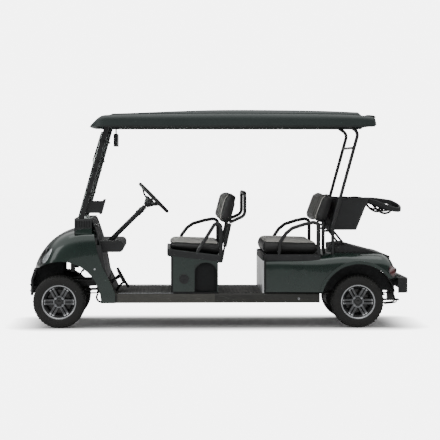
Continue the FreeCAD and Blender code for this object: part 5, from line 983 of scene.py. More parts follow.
@dataclass
class Seats:
    """The two bench cushions and the two backrests."""

    half_width: float = 0.498
    front_x: Pair = (-0.430, 0.031)
    rear_x: Pair = (0.383, 0.871)
    backrest_width: float = 0.960
    backrest_height: float = 0.285
    backrest_thickness: float = 0.108
    channels: tuple[float, ...] = (-0.36, -0.24, -0.12, 0.12, 0.24, 0.36)

    def cushion(self, row: str, span: Pair, low: Pair, high: Pair) -> Pad:
        """A bench cushion between two places along the cart.

        Args:
            row: front or rear.
            span: front and back places.
            low: the under face's height at front and back.
            high: the upper face's height at front and back.

        Returns:
            The pad.
        """
        middle, length = (span[0] + span[1]) / 2, span[1] - span[0]

        def thickness(v: Array) -> tuple[Array, Array]:
            """Under and upper heights at a place along the seat, where V runs to the front."""
            return np.interp(middle - v, span, low), np.interp(middle - v, span, high)

        return Pad(f"{row}_seat_pad", f"{row}_seat_cushion", f"{row}_seat_lid", self.half_width * 2 - 0.002,
                   length - 0.002, (middle, 0.0, 0.0), Z_WAY, (-1, 0, 0), thickness, self.channels,
                   corner=0.05, edge=0.034, crown=0.010, waist=0.005, voxel=0.009, swell_cap=0.010, panel_half=0.455,
                   panel_low=0.04 - length / 2, panel_high=0.4, panel_facing=0.6, panel_finish=TAUPE)

    def backrest(self, row: str, centre: Place, lean: float) -> Pad:
        """A backrest leaned back about its middle.

        Args:
            row: front or rear.
            centre: its middle.
            lean: how far it leans, in degrees.

        Returns:
            The pad.
        """
        sine, cosine = math.sin(math.radians(lean)), math.cos(math.radians(lean))
        half = self.backrest_thickness / 2

        def thickness(v: Array) -> tuple[Array, Array]:
            """The pad's back and front planes."""
            return np.full_like(v, 0.0004 - half), np.full_like(v, half - 0.008)

        return Pad(f"{row}_back_pad", f"{row}_backrest", CHASSIS, self.backrest_width - 0.004,
                   self.backrest_height - 0.004, centre, (-cosine, 0, sine), (sine, 0, cosine), thickness,
                   (*self.channels, 0.0), corner=0.075, edge=0.042, crown=0.012, waist=0.006, voxel=0.008,
                   swell_cap=0.014, panel_half=0.43, panel_low=-0.115, panel_high=0.12, panel_facing=0.62,
                   panel_finish=GREY_VINYL)

    def build(self) -> None:
        """Makes the four pads with their piping."""
        for pad in (self.cushion("front", self.front_x, (0.6892, 0.6335), (0.749, 0.735)),
                    self.cushion("rear", self.rear_x, (0.6405, 0.6405), (0.757, 0.743)),
                    self.backrest("front", (0.078, 0.0, 1.040), 15.0),
                    self.backrest("rear", (0.921, 0.0, 1.038), 20.0)):
            piece = pad.build()
            for word, side in SIDES.items():
                pad.pipe(piece, word, side)


# Body and roof
DRESSED = {
    GREEN: "front_cowl rear_body front_seat_pod",
    MOULDING: "cowl_cap dash_panel front_bumper rear_bumper rear_seat_rim rear_arch_liners rear_deck bag_basket "
              "mirror display steering_column battery_block",
    SILL_DARK: "sills",
    MAT: "floor_panel",
    SILVER_AND_REFLECTION: "kick_panel",
    POWDER: "front_struts rear_struts armrests front_seat_frame rear_seat_frame chassis_frame pedals",
    CASTING: "front_axle knuckle_left knuckle_right rear_axle leaf_springs",
    ZINC: "tie_rod",
    CLEAR: "windshield_lower windshield_upper",
    HARD_BLACK: "headlamps tail_lamps",
}


class Body:
    """The painted skins, the black mouldings and the running gear, as the solids give them."""

    def build(self) -> None:
        """Dresses every rigid solid that keeps its own mesh."""
        for finish, nodes in DRESSED.items():
            for node in nodes.split():
                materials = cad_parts[node].data.materials
                materials.clear()
                materials.append(finish.material())


@dataclass
class Steering:
    """The steering wheel: a grip with finger swells, three spokes and a padded hub with a clip."""

    centre: Place = (-0.562, -0.285, 1.128)
    axis: Place = (0.71325, 0.0, 0.70091)
    ring_radius: float = 0.1675
    grip_radius: float = 0.0150
    dish: float = 0.052
    hub_radius: float = 0.058
    hub_length: float = 0.074
    shaft_length: float = 0.06
    steps: int = 144

    def build(self) -> None:
        """Makes the wheel in place of its solid, in a frame whose Z runs up the column."""
        angle = round_angles(self.steps)
        path = np.stack([np.cos(angle), np.sin(angle), np.zeros(self.steps)], 1) * self.ring_radius
        swell = 1 - 0.07 * (0.5 - 0.5 * np.cos(angle * 24))
        ring = sweep(path, circle(self.grip_radius, 20)[None] * swell[:, None, None], Z_WAY, closed=True)
        top, wide = self.hub_length / 3 - self.dish, self.hub_radius
        low = top - self.hub_length
        hub = lathe([(0.022, low), (0.03, low + 0.012), (wide - 0.004, top - 0.02), (wide, top - 0.008),
                     (wide - 0.003, top - 0.001), (wide * 0.7, top + 0.003), (0.0, top + 0.005)], 64)
        shaft = lathe([(0.0115, low - self.shaft_length + 0.001), (0.0115, low + 0.002)], 32)
        line = smooth_line([(0.03, 0, top - 0.014), (0.075, 0, top - 0.012), (0.125, 0, -0.012),
                            (self.ring_radius - 0.004, 0, 0)], 20)
        share = np.linspace(0, 1, len(line))[:, None, None]
        section = round_outline(0.044, 0.016, 0.005, 4) * np.concatenate([1 - 0.3 * share, np.ones_like(share)], 2)
        spokes = sweep(line, section, Y_WAY).turned(90).ring(3)
        clip = slab(round_outline(0.052, 0.03, 0.006), top + 0.003, top + 0.0085, 0.0016)
        form = ring + (hub + shaft + spokes).toned(1) + clip.toned(2)
        form = form.framed(self.centre, Y_WAY, tuple(np.cross(np.array(self.axis), Y_WAY)))
        wheel = make_piece("gripped_steering_wheel", form, "steering_wheel", [WHEEL_GRIP, MOULDING, HARD_BLACK], 45)
        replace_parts(wheel, "steering_wheel")


class Skin:
    """The surfaces of some solids, to lay fittings on."""

    sink: float = 0.003
    film: float = 0.0008
    rings: int = 8

    def __init__(self, *nodes: str) -> None:
        """Reads the solids' meshes."""
        depsgraph = bpy.context.evaluated_depsgraph_get()
        self.trees = [BVHTree.FromObject(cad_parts[node], depsgraph) for node in nodes]

    def hit(self, start: Place, way: Place) -> tuple[Array, Array]:
        """The first place met from a start along a way, and the normal there turned to the start.

        Args:
            start: where the look begins.
            way: the direction.

        Returns:
            The place and the outward normal.
        """
        ray = Vector(way).normalized()
        found = [tree.ray_cast(Vector(start), ray) for tree in self.trees]
        spot, normal = min((row for row in found if row[0] is not None), key=lambda row: row[3])[:2]
        if normal.dot(ray) > 0:
            normal = -normal
        return np.array(spot), np.array(normal)

    def patch(self, outline: Array, middle: Place, bulge: float) -> Form:
        """A lens laid on a flank: rings of an outline, seen from the side, shrink to its middle,
        each point is carried inward to the surface and lifted off it by the bulge times one minus
        the ring share squared; the back is the same grid sunk below the surface.

        Args:
            outline: offsets along the cart and upward.
            middle: a place beside the cart.
            bulge: the lift at the middle.

        Returns:
            A closed lens.
        """
        inward = (0.0, -math.copysign(1.0, middle[1]), 0.0)
        flat = np.column_stack([outline[:, 0], np.zeros(len(outline)), outline[:, 1]])
        front, back = [], []
        for ring in np.linspace(1.0, 0.02, self.rings):
            spots = [self.hit(tuple(start), inward) for start in np.array(middle) + flat * ring]
            lift = bulge * (1 - ring ** 2) + self.film
            front.append([spot + normal * lift for spot, normal in spots])
            back.append([spot - normal * self.sink for spot, normal in spots])
        return grid_form(np.array(front[::-1] + back), wrap_columns=True, capped=True)

    def lamps(self, title: str, outline: Array, place: Pair, rim_lift: float, lens: Finish, kind: str,
              lift: float) -> None:
        """Makes a lamp on both flanks: a dark rim and a lens inside it.

        Args:
            title: the lamp's name.
            outline: the lens's outline, seen from the side.
            place: its middle along the cart and upward.
            rim_lift: the rim's bulge.
            lens: the lens's finish.
            kind: the lens's name.
            lift: the lens's bulge.
        """
        for word, side in SIDES.items():
            beside = (place[0], side * BESIDE, place[1])
            rim = self.patch(outline * 1.16, beside, rim_lift)
            fit(f"{title}_rim_{word}", rim, HARD_BLACK, sharp=50)
            fit(f"{title}_{kind}_{word}", self.patch(outline, beside, lift), lens, sharp=60)


def spun(outline: Array, degrees: float) -> Array:
    """An outline turned in its plane."""
    sine, cosine = math.sin(math.radians(degrees)), math.cos(math.radians(degrees))
    return outline @ np.array([[cosine, sine], [-sine, cosine]])


def bolt(spot: Place, way: Place, radius: float) -> Form:
    """A flanged bolt head: a six-sided head on a turned flange.

    Args:
        spot: where it stands.
        way: the surface's outward way.
        radius: the flange's radius.

    Returns:
        The head.
    """
    side = Z_WAY if abs(way[2]) < 0.7 else X_WAY
    head = slab(circle(radius * 0.72, 6), 0.0004, radius * 0.75, radius * 0.14)
    thick = radius * 0.28
    flange = lathe([(radius, -0.0005), (radius, radius * 0.16), (radius * 0.86, thick), (0.0, thick)], 20)
    x_way = np.cross(side, way)
    return (head + flange).framed(tuple(spot), tuple(x_way), tuple(np.cross(way, x_way)))


def rail(points: Sequence[Place], wide: float, thick: float, side: Place, steps: int = 8) -> Form:
    """A flat bar with rounded edges on a smooth line through points, its width along the side way."""
    return sweep(smooth_line(points, steps), round_outline(wide, thick, min(wide, thick) * 0.35, 4), side)


@dataclass
class Canopy:
    """The roof: a shallow tray with a stepped crown, a flat band round its edge and ribs below."""

    front: float = -1.126
    back: float = 1.409
    half: float = 0.590
    low: float = 1.747
    crown_front: float = -0.932
    crown_back: float = 1.258
    crown_inset: float = 0.090
    step: float = 0.009
    band_height: float = 0.060
    shoulder: float = 0.046
    corner_pull: float = 0.055
    corner_reach: float = 0.14
    rows: int = 150
    wall: float = 0.005
    bow_back: float = 0.066
    bow_front: float = 0.028
    drip_y: float = 0.5876
    drip_z: float = 1.7475
    deck_line: Line = (
        (-1.126, 1.753), (-1.10, 1.782), (-1.034, 1.836), (-0.943, 1.851), (-0.6, 1.857), (0.2, 1.862), (1.0, 1.856),
        (1.226, 1.849), (1.30, 1.844), (1.383, 1.833), (1.400, 1.812), (1.409, 1.768))
    crown_line: Line = (
        (-0.932, 1.864), (-0.6, 1.884), (-0.2, 1.901), (0.06, 1.9065), (0.42, 1.9065), (0.9, 1.900), (1.258, 1.886))

    def form(self) -> Form:
        """The roof's sheet: at each place along X a section runs from the left rim up a flat band,
        round a shoulder, along the deck, over a small step and across the crown, which bulges as
        one minus the square of the share of its half width; the underside follows a wall inside."""
        near_step = np.array([[self.crown_front], [self.crown_back]]) + (-0.012, -0.004, 0.004, 0.012)
        near_front, near_back = self.front + np.array([0.004, 0.01, 0.02]), self.back - np.array([0.002, 0.006, 0.012])
        even = np.linspace(self.front, self.back, self.rows)
        x = np.unique(np.concatenate([even, near_step.ravel(), near_front, near_back]))[:, None]
        deck_line, crown_line = smooth_line(self.deck_line, 200), smooth_line(self.crown_line, 120)
        deck = np.interp(x, *deck_line.T)
        crown = np.interp(np.clip(x, self.crown_front, self.crown_back), *crown_line.T)
        near = np.minimum(x - self.front, self.back - x)
        half = self.half - self.corner_pull * np.clip(1 - near / self.corner_reach, 0, 1) ** 2
        on = soft_step(x - self.crown_front, 0.016) * soft_step(self.crown_back - x, 0.03)
        rise = np.clip((deck - self.low) / 0.1, 0.02, 1.0)
        turn = np.linspace(0, math.pi / 2, 7)
        none, band, stepped = 0 * x, self.low + self.band_height * rise, deck + self.step * on
        shoulder = 0.008 * rise + self.shoulder * (1 - np.cos(turn))
        climb = band + (deck - 0.004 - band) * np.sin(turn)
        foot = self.crown_inset + none
        inset = np.concatenate([none, 0.002 * rise, shoulder, foot - 0.004, foot], axis=1)
        share = np.linspace(0.97, 0.0, 12)[None]
        lift = np.maximum((crown - deck - self.step) * on, 0.0)
        domed = stepped + lift * (1 - share ** 2) ** 0.75
        y = np.concatenate([half - inset, (half - self.crown_inset) * share], axis=1)
        z = np.concatenate([self.low + none, self.low + 0.012 * rise, climb, deck, stepped, domed], axis=1)
        y = np.concatenate([-y, y[:, -2::-1]], axis=1)
        z = np.concatenate([z, z[:, -2::-1]], axis=1)
        x_all = np.broadcast_to(x, y.shape)
        under = np.maximum(z - self.wall, self.low + 0.0005)
        inner = np.stack([x_all * (1 - 0.002), y * (1 - 1.4 * self.wall / half), under], axis=2)
        ring = np.concatenate([np.stack([x_all, y, z], axis=2), inner[:, ::-1]], axis=1)
        aside = np.minimum(np.abs(ring[..., 1]) / self.half, 1) ** 3
        ring[..., 0] -= self.bow_back * aside * np.clip((ring[..., 0] - 0.9) / 0.5, 0, 1) ** 1.5
        ring[..., 0] += self.bow_front * aside * np.clip((-0.8 - ring[..., 0]) / 0.32, 0, 1) ** 1.5
        skin = grid_form(ring, wrap_columns=True, capped=True)
        return skin.toned_where(1, lambda spot: (spot[:, 2] < self.low + 0.009) & (np.abs(spot[:, 1]) > 0.5))

    def ribs_form(self) -> Form:
        """The two long ribs and the cross members under the roof, each a rounded bar."""
        long_rib = rail([(-0.99, -0.484, 1.776), (1.27, -0.484, 1.776)], 0.040, 0.046, Y_WAY, 32).both_sides()
        members = [rail([(x, -0.5, 1.800), (x, 0.0, 1.812), (x, 0.5, 1.800)], 0.036, 0.03, X_WAY, 12)
                   for x in (-0.93, -0.35, 0.25, 0.85, 1.2)]
        return joined([long_rib, *members])

    def gutter_form(self) -> Form:
        """The drip moulding round the lower edge and the grab handles on the rear step."""
        edge = smooth_line([(-1.05, -self.drip_y, self.drip_z), (1.33, -self.drip_y, self.drip_z)], 40)
        drip = sweep(edge, round_outline(0.004, 0.006, 0.0015, 4), Y_WAY).both_sides()
        side = ((1.283, 1.836), (1.30, 1.8475), (1.335, 1.8475), (1.368, 1.8415), (1.376, 1.828))
        handles = [rail([(x, y, z) for x, z in side], 0.03, 0.010, Y_WAY, 24) for y in (-0.40, -0.30, 0.30, 0.40)]
        return joined([drip, *handles])

    def build(self) -> None:
        """Makes the roof in place of its solid."""
        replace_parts(fit("stepped_canopy", self.form(), ROOF_GREEN, ROOF_TRIM, sharp=28), "roof_canopy")
        fit("canopy_ribs", self.ribs_form(), ROOF_TRIM)
        fit("canopy_gutter", self.gutter_form(), ROOF_TRIM)
        screws = [bolt((x, -0.575, self.drip_z), (0, 0, -1), 0.0065) for x in (-0.94, 0.0, 0.79)]
        fit("canopy_screws", joined(screws).both_sides(), POWDER)


@dataclass
class Pedestal:
    """What dresses the front seat box: the dark tray lip, pocket linings, port covers and edge trims."""

    centre: float = -0.202
    length: float = 0.480
    half: float = 0.555
    low: float = 0.305
    pocket_half: float = 0.096
    trim_y: float = -0.5515

    def lip_form(self) -> Form:
        """A bulged lip: a rounded rectangle seen from above carries a side section of out and up
        steps below the sloping tray top. Its outward way is the slope of a sixth-power oval."""
        outline = even_outline(round_outline(self.length, self.half * 2, 0.034, 10), 420)
        section = np.array([
            (-0.0085, 0.0007), (-0.003, 0.0005), (0.0012, -0.003), (0.0034, -0.012), (0.004, -0.030), (0.003, -0.046),
            (0.000, -0.058), (-0.010, -0.0655), (-0.030, -0.066), (-0.030, -0.040), (-0.0088, -0.02)])
        halves = np.array([self.length / 2, self.half])
        outward = unit(outline * np.abs(outline) ** 4 / halves ** 6 + unit(outline) * 1e-6)
        flat = outline[None] + outward[None] * section[:, :1, None] + (self.centre, 0)
        top = np.interp(outline[:, 0] + self.centre, (-0.442, 0.038), (0.690, 0.632))
        grid = np.concatenate([flat, (top[None] + section[:, 1:])[..., None]], axis=2)
        return grid_form(grid, wrap_rows=True, wrap_columns=True)

    def pocket_form(self) -> Form:
        """The lining of the arched pocket: a plate with a round head just off the pocket's floor,
        and a bead round it, which turns sharply at the foot because that corner stands twice."""
        wide = self.pocket_half
        arch = np.vstack([circle(wide, 40)[:20] * (1, 0.9) + (0, 0.165), [(-wide, 0.004)], [(wide, 0.004)]])
        line = np.vstack([arch[:21], arch[20:]]) * 0.96 + (0, 0.004)
        bead = sweep(np.column_stack([line, np.full(len(line), 0.0035)]), circle(0.0022, 8), Z_WAY, closed=True)
        lining = slab(arch, 0.0, 0.0025, 0.0006) + bead
        return lining.standing((-0.108, -0.5155, self.low + 0.011)).both_sides()

    def port_form(self) -> Form:
        """A round port cover with a raised rim, a shallow dish and a thumb slot."""
        cover = lathe([(0.041, -0.004), (0.041, 0.0015), (0.039, 0.0035), (0.036, 0.0035), (0.0345, 0.0015),
                       (0.012, 0.0008), (0.0, 0.0008)], 48)
        slot = slab(round_outline(0.034, 0.007, 0.003, 4), 0.0005, 0.004, 0.001)
        return (cover + slot).standing((-0.298, -0.5562, 0.429)).both_sides()

    def trim_form(self) -> Form:
        """Black trims down the box's front corners and along its foot."""
        y = self.trim_y
        front = rail([(-0.4035, y, 0.310), (-0.4035, y, 0.622)], 0.018, 0.004, X_WAY)
        foot = rail([(-0.405, y, 0.3115), (-0.002, y, 0.3115)], 0.004, 0.012, Y_WAY)
        return (front + foot).both_sides()

    def build(self) -> None:
        """Makes the dressings."""
        fit("seat_tray_lip", self.lip_form(), MOULDING, sharp=50)
        fit("pocket_linings", self.pocket_form(), SOFT_BLACK)
        fit("port_covers", self.port_form(), MOULDING)
        fit("box_trims", self.trim_form(), SOFT_BLACK)


@dataclass
class FrontEnd:
    """Wheel-well panels, brackets, lamps, bumper bolts, tie-down loops and the dash's small controls."""

    axle_x: float = -1.379
    axle_z: float = 0.2295
    well_y: float = 0.262
    cut_radius: float = 0.205
    bumper_x: float = -1.6562
    dash: Pair = (-1.083, 0.892)

    def well_form(self) -> Form:
        """The panel inboard of the tyre: columns run from the round cut over the tyre up to a
        height hidden behind the fender."""
        x = np.linspace(-1.598, -1.357, 30)
        reach = np.maximum(self.cut_radius ** 2 - (x - self.axle_x) ** 2, 0.0)
        low = np.maximum(self.axle_z + np.sqrt(reach), 0.335)
        high = np.interp(x, (-1.598, -1.54, -1.357), (0.50, 0.585, 0.70))
        rows = np.linspace(0, 1, 6)[:, None]
        z = low + (high - low) * rows
        wave = np.broadcast_to(0.002 * np.sin(rows * 14), z.shape)
        front = np.stack([np.broadcast_to(x, z.shape), wave - self.well_y, z], 2)
        grid = np.concatenate([front, (front + (0, 0.004, 0))[::-1]])
        return grid_form(np.swapaxes(grid, 0, 1)[::-1], wrap_columns=True, capped=True).both_sides()

    def bracket_form(self) -> Form:
        """The upright bracket and the slanted stays between the fender and the frame."""
        upright = rail([(-1.271, -0.305, 0.478), (-1.271, -0.305, 0.66)], 0.042, 0.006, X_WAY)
        stay = rail([(-1.215, -0.30, 0.445), (-1.185, -0.32, 0.495), (-1.145, -0.34, 0.555)], 0.014, 0.010, X_WAY)
        low = tube([(-1.150, -0.27, 0.322), (-1.10, -0.30, 0.326), (-1.03, -0.33, 0.330)], 0.011, Z_WAY, 16)
        return (upright + stay + low).both_sides()

    def loop_form(self) -> Form:
        """The bent tie-down loop under the front of each sill."""
        side = ((-1.045, 0.300), (-1.056, 0.268), (-1.040, 0.237), (-1.005, 0.226), (-0.95, 0.224), (-0.905, 0.232))
        return tube([(x, -0.515, z) for x, z in side], 0.0085, Y_WAY, 40).both_sides()

    def controls_form(self) -> Form:
        """The direction knob and three switches on the dash face."""
        x, z = self.dash
        knob = lathe([(0.012, 0.0), (0.012, 0.010), (0.007, 0.014), (0.007, 0.024), (0.013, 0.028), (0.013, 0.040),
                      (0.0, 0.042)], 28)
        switch = slab(round_outline(0.034, 0.022, 0.004, 4), 0.0, 0.006, 0.0015)
        switches = [switch.standing((x, y, z), Y_WAY) for y in (-0.16, -0.08, 0.0)]
        return joined([knob.standing((x + 0.003, -0.50, z), Y_WAY), *switches])

    def build(self) -> None:
        """Makes the fittings. A headlamp is a drop: an oval that narrows towards its top."""
        fit("front_well_panels", self.well_form(), SOFT_BLACK)
        fit("front_well_brackets", self.bracket_form(), POWDER)
        fit("tie_down_loops", self.loop_form(), POWDER)
        fit("dash_controls", self.controls_form(), HARD_BLACK)
        bolt_x = self.bumper_x + 0.016 * (0.28 / 0.332) ** 2
        bolts = [bolt((bolt_x, -0.28, z), (-1, 0, 0), 0.009) for z in (0.31, 0.365)]
        fit("bumper_bolts", joined(bolts).both_sides(), CASTING)
        turn = round_angles(56)
        drop = np.stack([np.cos(turn) * (0.019 - 0.008 * np.sin(turn)), np.sin(turn) * 0.078], 1)
        Skin("front_cowl", "headlamps").lamps("headlamp", spun(drop, 33) * (-1, 1), (-1.482, 0.628), 0.0012,
                                              WHITE_LENS, "reflector", 0.006)
        flank = Skin("front_cowl")
        studs = [bolt(flank.hit((-1.070, side * BESIDE, 0.515), (0, -side, 0))[0], (0, side, 0), 0.008)
                 for side in (LEFT, RIGHT)]
        fit("fender_studs", joined(studs), CHROME)


@dataclass
class Uprights:
    """The stamped covers on the front backrest's supports, the flutes on the cap's flanks and the
    cowl's cheeks below them."""

    cover_low: Place = (0.060, -0.40, 0.700)
    cover_high: Place = (0.104, -0.40, 0.905)
    flute_count: int = 6
    cheek: Line = ((-1.237, 0.8165), (-1.0955, 0.8165), (-1.0955, 0.866), (-1.16, 0.8645),
                                              (-1.226, 0.853), (-1.2405, 0.842))

    def build(self) -> None:
        """Makes the covers, flutes and cheeks."""
        cover = rail([self.cover_low, self.cover_high], 0.034, 0.010, X_WAY)
        fit("support_covers", cover.both_sides(), POWDER)
        low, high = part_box("cowl_cap")
        skin = Skin("cowl_cap")
        flutes = []
        for x in np.linspace(low[0] + 0.022, high[0] - 0.022, self.flute_count):
            heights = np.linspace(low[2] + 0.062, high[2] - 0.020, 5)
            line = [skin.hit((x, -1.0, z), Y_WAY)[0] for z in heights]
            flutes.append(sweep(smooth_line(line, 12), round_outline(0.008, 0.005, 0.002, 4), X_WAY))
        fit("cap_flutes", joined(flutes).both_sides(), SOFT_BLACK)
        cheek_y = skin.hit((-1.17, -1.0, low[2] + 0.02), Y_WAY)[0][1] + 0.0004
        cheek = slab(np.array(self.cheek), 0.0, 0.0032, 0.0012).standing((0, cheek_y, 0))
        fit("cowl_cheeks", cheek.both_sides(), GREEN)


@dataclass
class FloorTrim:
    """Lighter grey plates on the front of the sills' outer faces, a painted sheen on the black rockers, the bright
    scuff strips, studs and the mat's raised ribs.
    """

    low: float = 0.226
    high: float = 0.300
    sheen_length: float = 0.846
    sheen_x: float = -0.453
    floor: float = 0.3062

    def build(self) -> None:
        """Makes the trims on the sills' outer faces and on the floor."""
        out = max(abs(corner[1]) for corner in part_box("sills"))
        # A lighter grey plate on the front of each sill's outer face: painted sheen.
        cover = slab(round_outline(self.sheen_length, self.high - self.low, 0.006, 4), 0.0, 0.003, 0.0012)
        near = cover.standing((self.sheen_x, 0.0005 - out, (self.low + self.high) / 2))
        fit("sill_sheen_plates", near.both_sides(), SILL_SHEEN)
        strip = rail([(-0.865, 0.006 - out, 0.3065), (-0.392, 0.006 - out, 0.3065)], 0.010, 0.003, Y_WAY)
        fit("scuff_strips", strip.both_sides(), CHROME)
        studs = bolt((0.698, -out, 0.255), (0, -1, 0), 0.011) + bolt((-0.95, -out, 0.262), (0, -1, 0), 0.006)
        fit("sill_studs", studs.both_sides(), ZINC)
        places = np.concatenate([np.arange(-0.84, -0.46, 0.032), np.arange(0.05, 0.37, 0.032)])
        ribs = [rail([(x, -0.50, self.floor), (x, 0.50, self.floor)], 0.012, 0.0035, X_WAY, 4) for x in places]
        fit("mat_ribs", joined(ribs), MAT)


@dataclass
class TailEnd:
    """Tail lamps, the kick panel's corner trims, the hooks under the bumper and its bolts."""

    lamp: Pair = (1.512, 0.493)
    lamp_half: Pair = (0.030, 0.050)
    hook_y: float = -0.06
    hook_line: Line = (
        (1.548, 0.300), (1.560, 0.262), (1.590, 0.245), (1.596, 0.222), (1.612, 0.196), (1.588, 0.182), (1.50, 0.172))

    def hook_form(self) -> Form:
        """A bent bar on each side under the bumper, and its stay."""
        drop = rail([(x, self.hook_y, z) for x, z in self.hook_line], 0.012, 0.012, Y_WAY, 40)
        stub = rail([(1.478, -0.10, 0.298), (1.480, -0.10, 0.27), (1.50, -0.10, 0.252)], 0.014, 0.014, Y_WAY, 12)
        return (drop + stub).both_sides()

    def trim_form(self) -> Form:
        """Black corner trims beside the bright kick panel, and the strips between the sills and the body."""
        post = rail([(0.402, -0.5765, 0.318), (0.402, -0.5765, 0.60)], 0.016, 0.004, X_WAY)
        strip = rail([(0.41, -0.54, 0.306), (0.882, -0.54, 0.306)], 0.012, 0.018, Y_WAY)
        return (post + strip).both_sides()

    def build(self) -> None:
        """Makes the fittings. A tail lamp is a power oval, a little squarer than a circle."""
        round_line = circle(1.0, 48)
        oval = np.sign(round_line) * np.abs(round_line) ** 0.8 * self.lamp_half
        Skin("rear_body", "tail_lamps").lamps("tail_lamp", spun(oval, 14), self.lamp, 0.0015, RED_LENS, "lens", 0.003)
        fit("tow_hooks", self.hook_form(), POWDER)
        fit("kick_corner_trims", self.trim_form(), SOFT_BLACK)
        top = Skin("rear_bumper")
        spots = [top.hit((1.600, y, 0.7), (0, 0, -1))[0] for y in (-0.34, -0.22, 0.22, 0.34)]
        fit("rear_bumper_bolts", joined([bolt(spot, Z_WAY, 0.010) for spot in spots]), CASTING)


@dataclass
class BagRack:
    """The padded bag yokes, the hanging straps, and the basket's rim and rivets."""

    half_spacing: float = 0.205
    root: float = 1.326
    end: float = 1.640
    yoke_half: float = 0.085
    rim_height: float = 1.121

    def yoke_form(self, side: int) -> Form:
        """One yoke: a flattened bar on a racetrack line that leaves the basket, dips as the square
        of its run towards its rounded end and rolls outward.

        Args:
            side: minus one or one.

        Returns:
            The bar.
        """
        half = self.yoke_half
        angle = np.linspace(-math.pi / 2, math.pi / 2, 9)
        bend = np.stack([self.end - 0.022 - half + half * np.cos(angle), half * np.sin(angle)], 1)
        leg = np.array([(self.root + 0.012, half), (self.root + 0.10, half * 1.02)])
        flat = np.vstack([leg * (1, -1), bend, leg[::-1]])
        run = (flat[:, 0] - self.root) / (self.end - self.root)
        roll = flat[:, 1] * -side * 0.33 * np.clip(run * 1.6, 0, 1)
        height = 1.104 - 0.045 * run - 0.036 * run ** 2 + roll
        path = smooth_line(np.column_stack([flat[:, 0], flat[:, 1] + self.half_spacing * side, height]), 90)
        return sweep(path, round_outline(0.042, 0.026, 0.009, 5), Z_WAY)

    def strap_form(self, side: int) -> Form:
        """A flat strap that hangs in a loop below a yoke, with its buckle.

        Args:
            side: minus one or one.

        Returns:
            The strap, with the buckle as its second finish.
        """
        y = (self.half_spacing + 0.088) * side
        outer = ((1.372, 1.085), (1.388, 1.045), (1.425, 1.008), (1.47, 0.990), (1.515, 1.000), (1.538, 1.030))
        inner = ((1.36, 1.075), (1.40, 1.03), (1.46, 1.012), (1.52, 1.02))
        straps = [sweep(smooth_line([(x, y, z) for x, z in line], count), round_outline(0.004, wide, 0.0015, 3), Y_WAY)
                  for line, count, wide in ((outer, 48, 0.020), (inner, 30, 0.016))]
        buckle = slab(round_outline(0.034, 0.028, 0.005, 4), -0.005, 0.005, 0.0015)
        return joined([*straps, buckle.framed((1.478, y, 0.992), (1, 0, 0.1), Y_WAY).toned(1)])

    def rim_form(self) -> Form:
        """The basket's rolled rim, a closed bar round the top edge with a slight wave."""
        outline = even_outline(round_outline(0.290, 0.880, 0.06, 10), 300) + (1.178, 0)
        height = self.rim_height + 0.0022 * np.sin(outline[:, 0] * 60)
        path = np.column_stack([outline, height])
        return sweep(path, round_outline(0.010, 0.012, 0.003, 4), Z_WAY, closed=True)

    def build(self) -> None:
        """Makes the rack's fittings."""
        yokes = fit("padded_yokes", self.yoke_form(LEFT) + self.yoke_form(RIGHT), MOULDING, sharp=60)
        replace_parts(yokes, "bag_holders")
        fit("yoke_straps", self.strap_form(LEFT) + self.strap_form(RIGHT), WEBBING, HARD_BLACK)
        fit("basket_rim", self.rim_form(), MOULDING)
        wall = Skin("bag_basket")
        spots = ((1.06, 1.09), (1.18, 1.09), (1.29, 1.09), (1.02, 0.89), (1.19, 0.89), (1.05, 1.0))
        rivets = [bolt(*wall.hit((x, -1.0, z), Y_WAY), 0.0045) for x, z in spots]
        fit("basket_rivets", joined(rivets).both_sides(), CASTING)


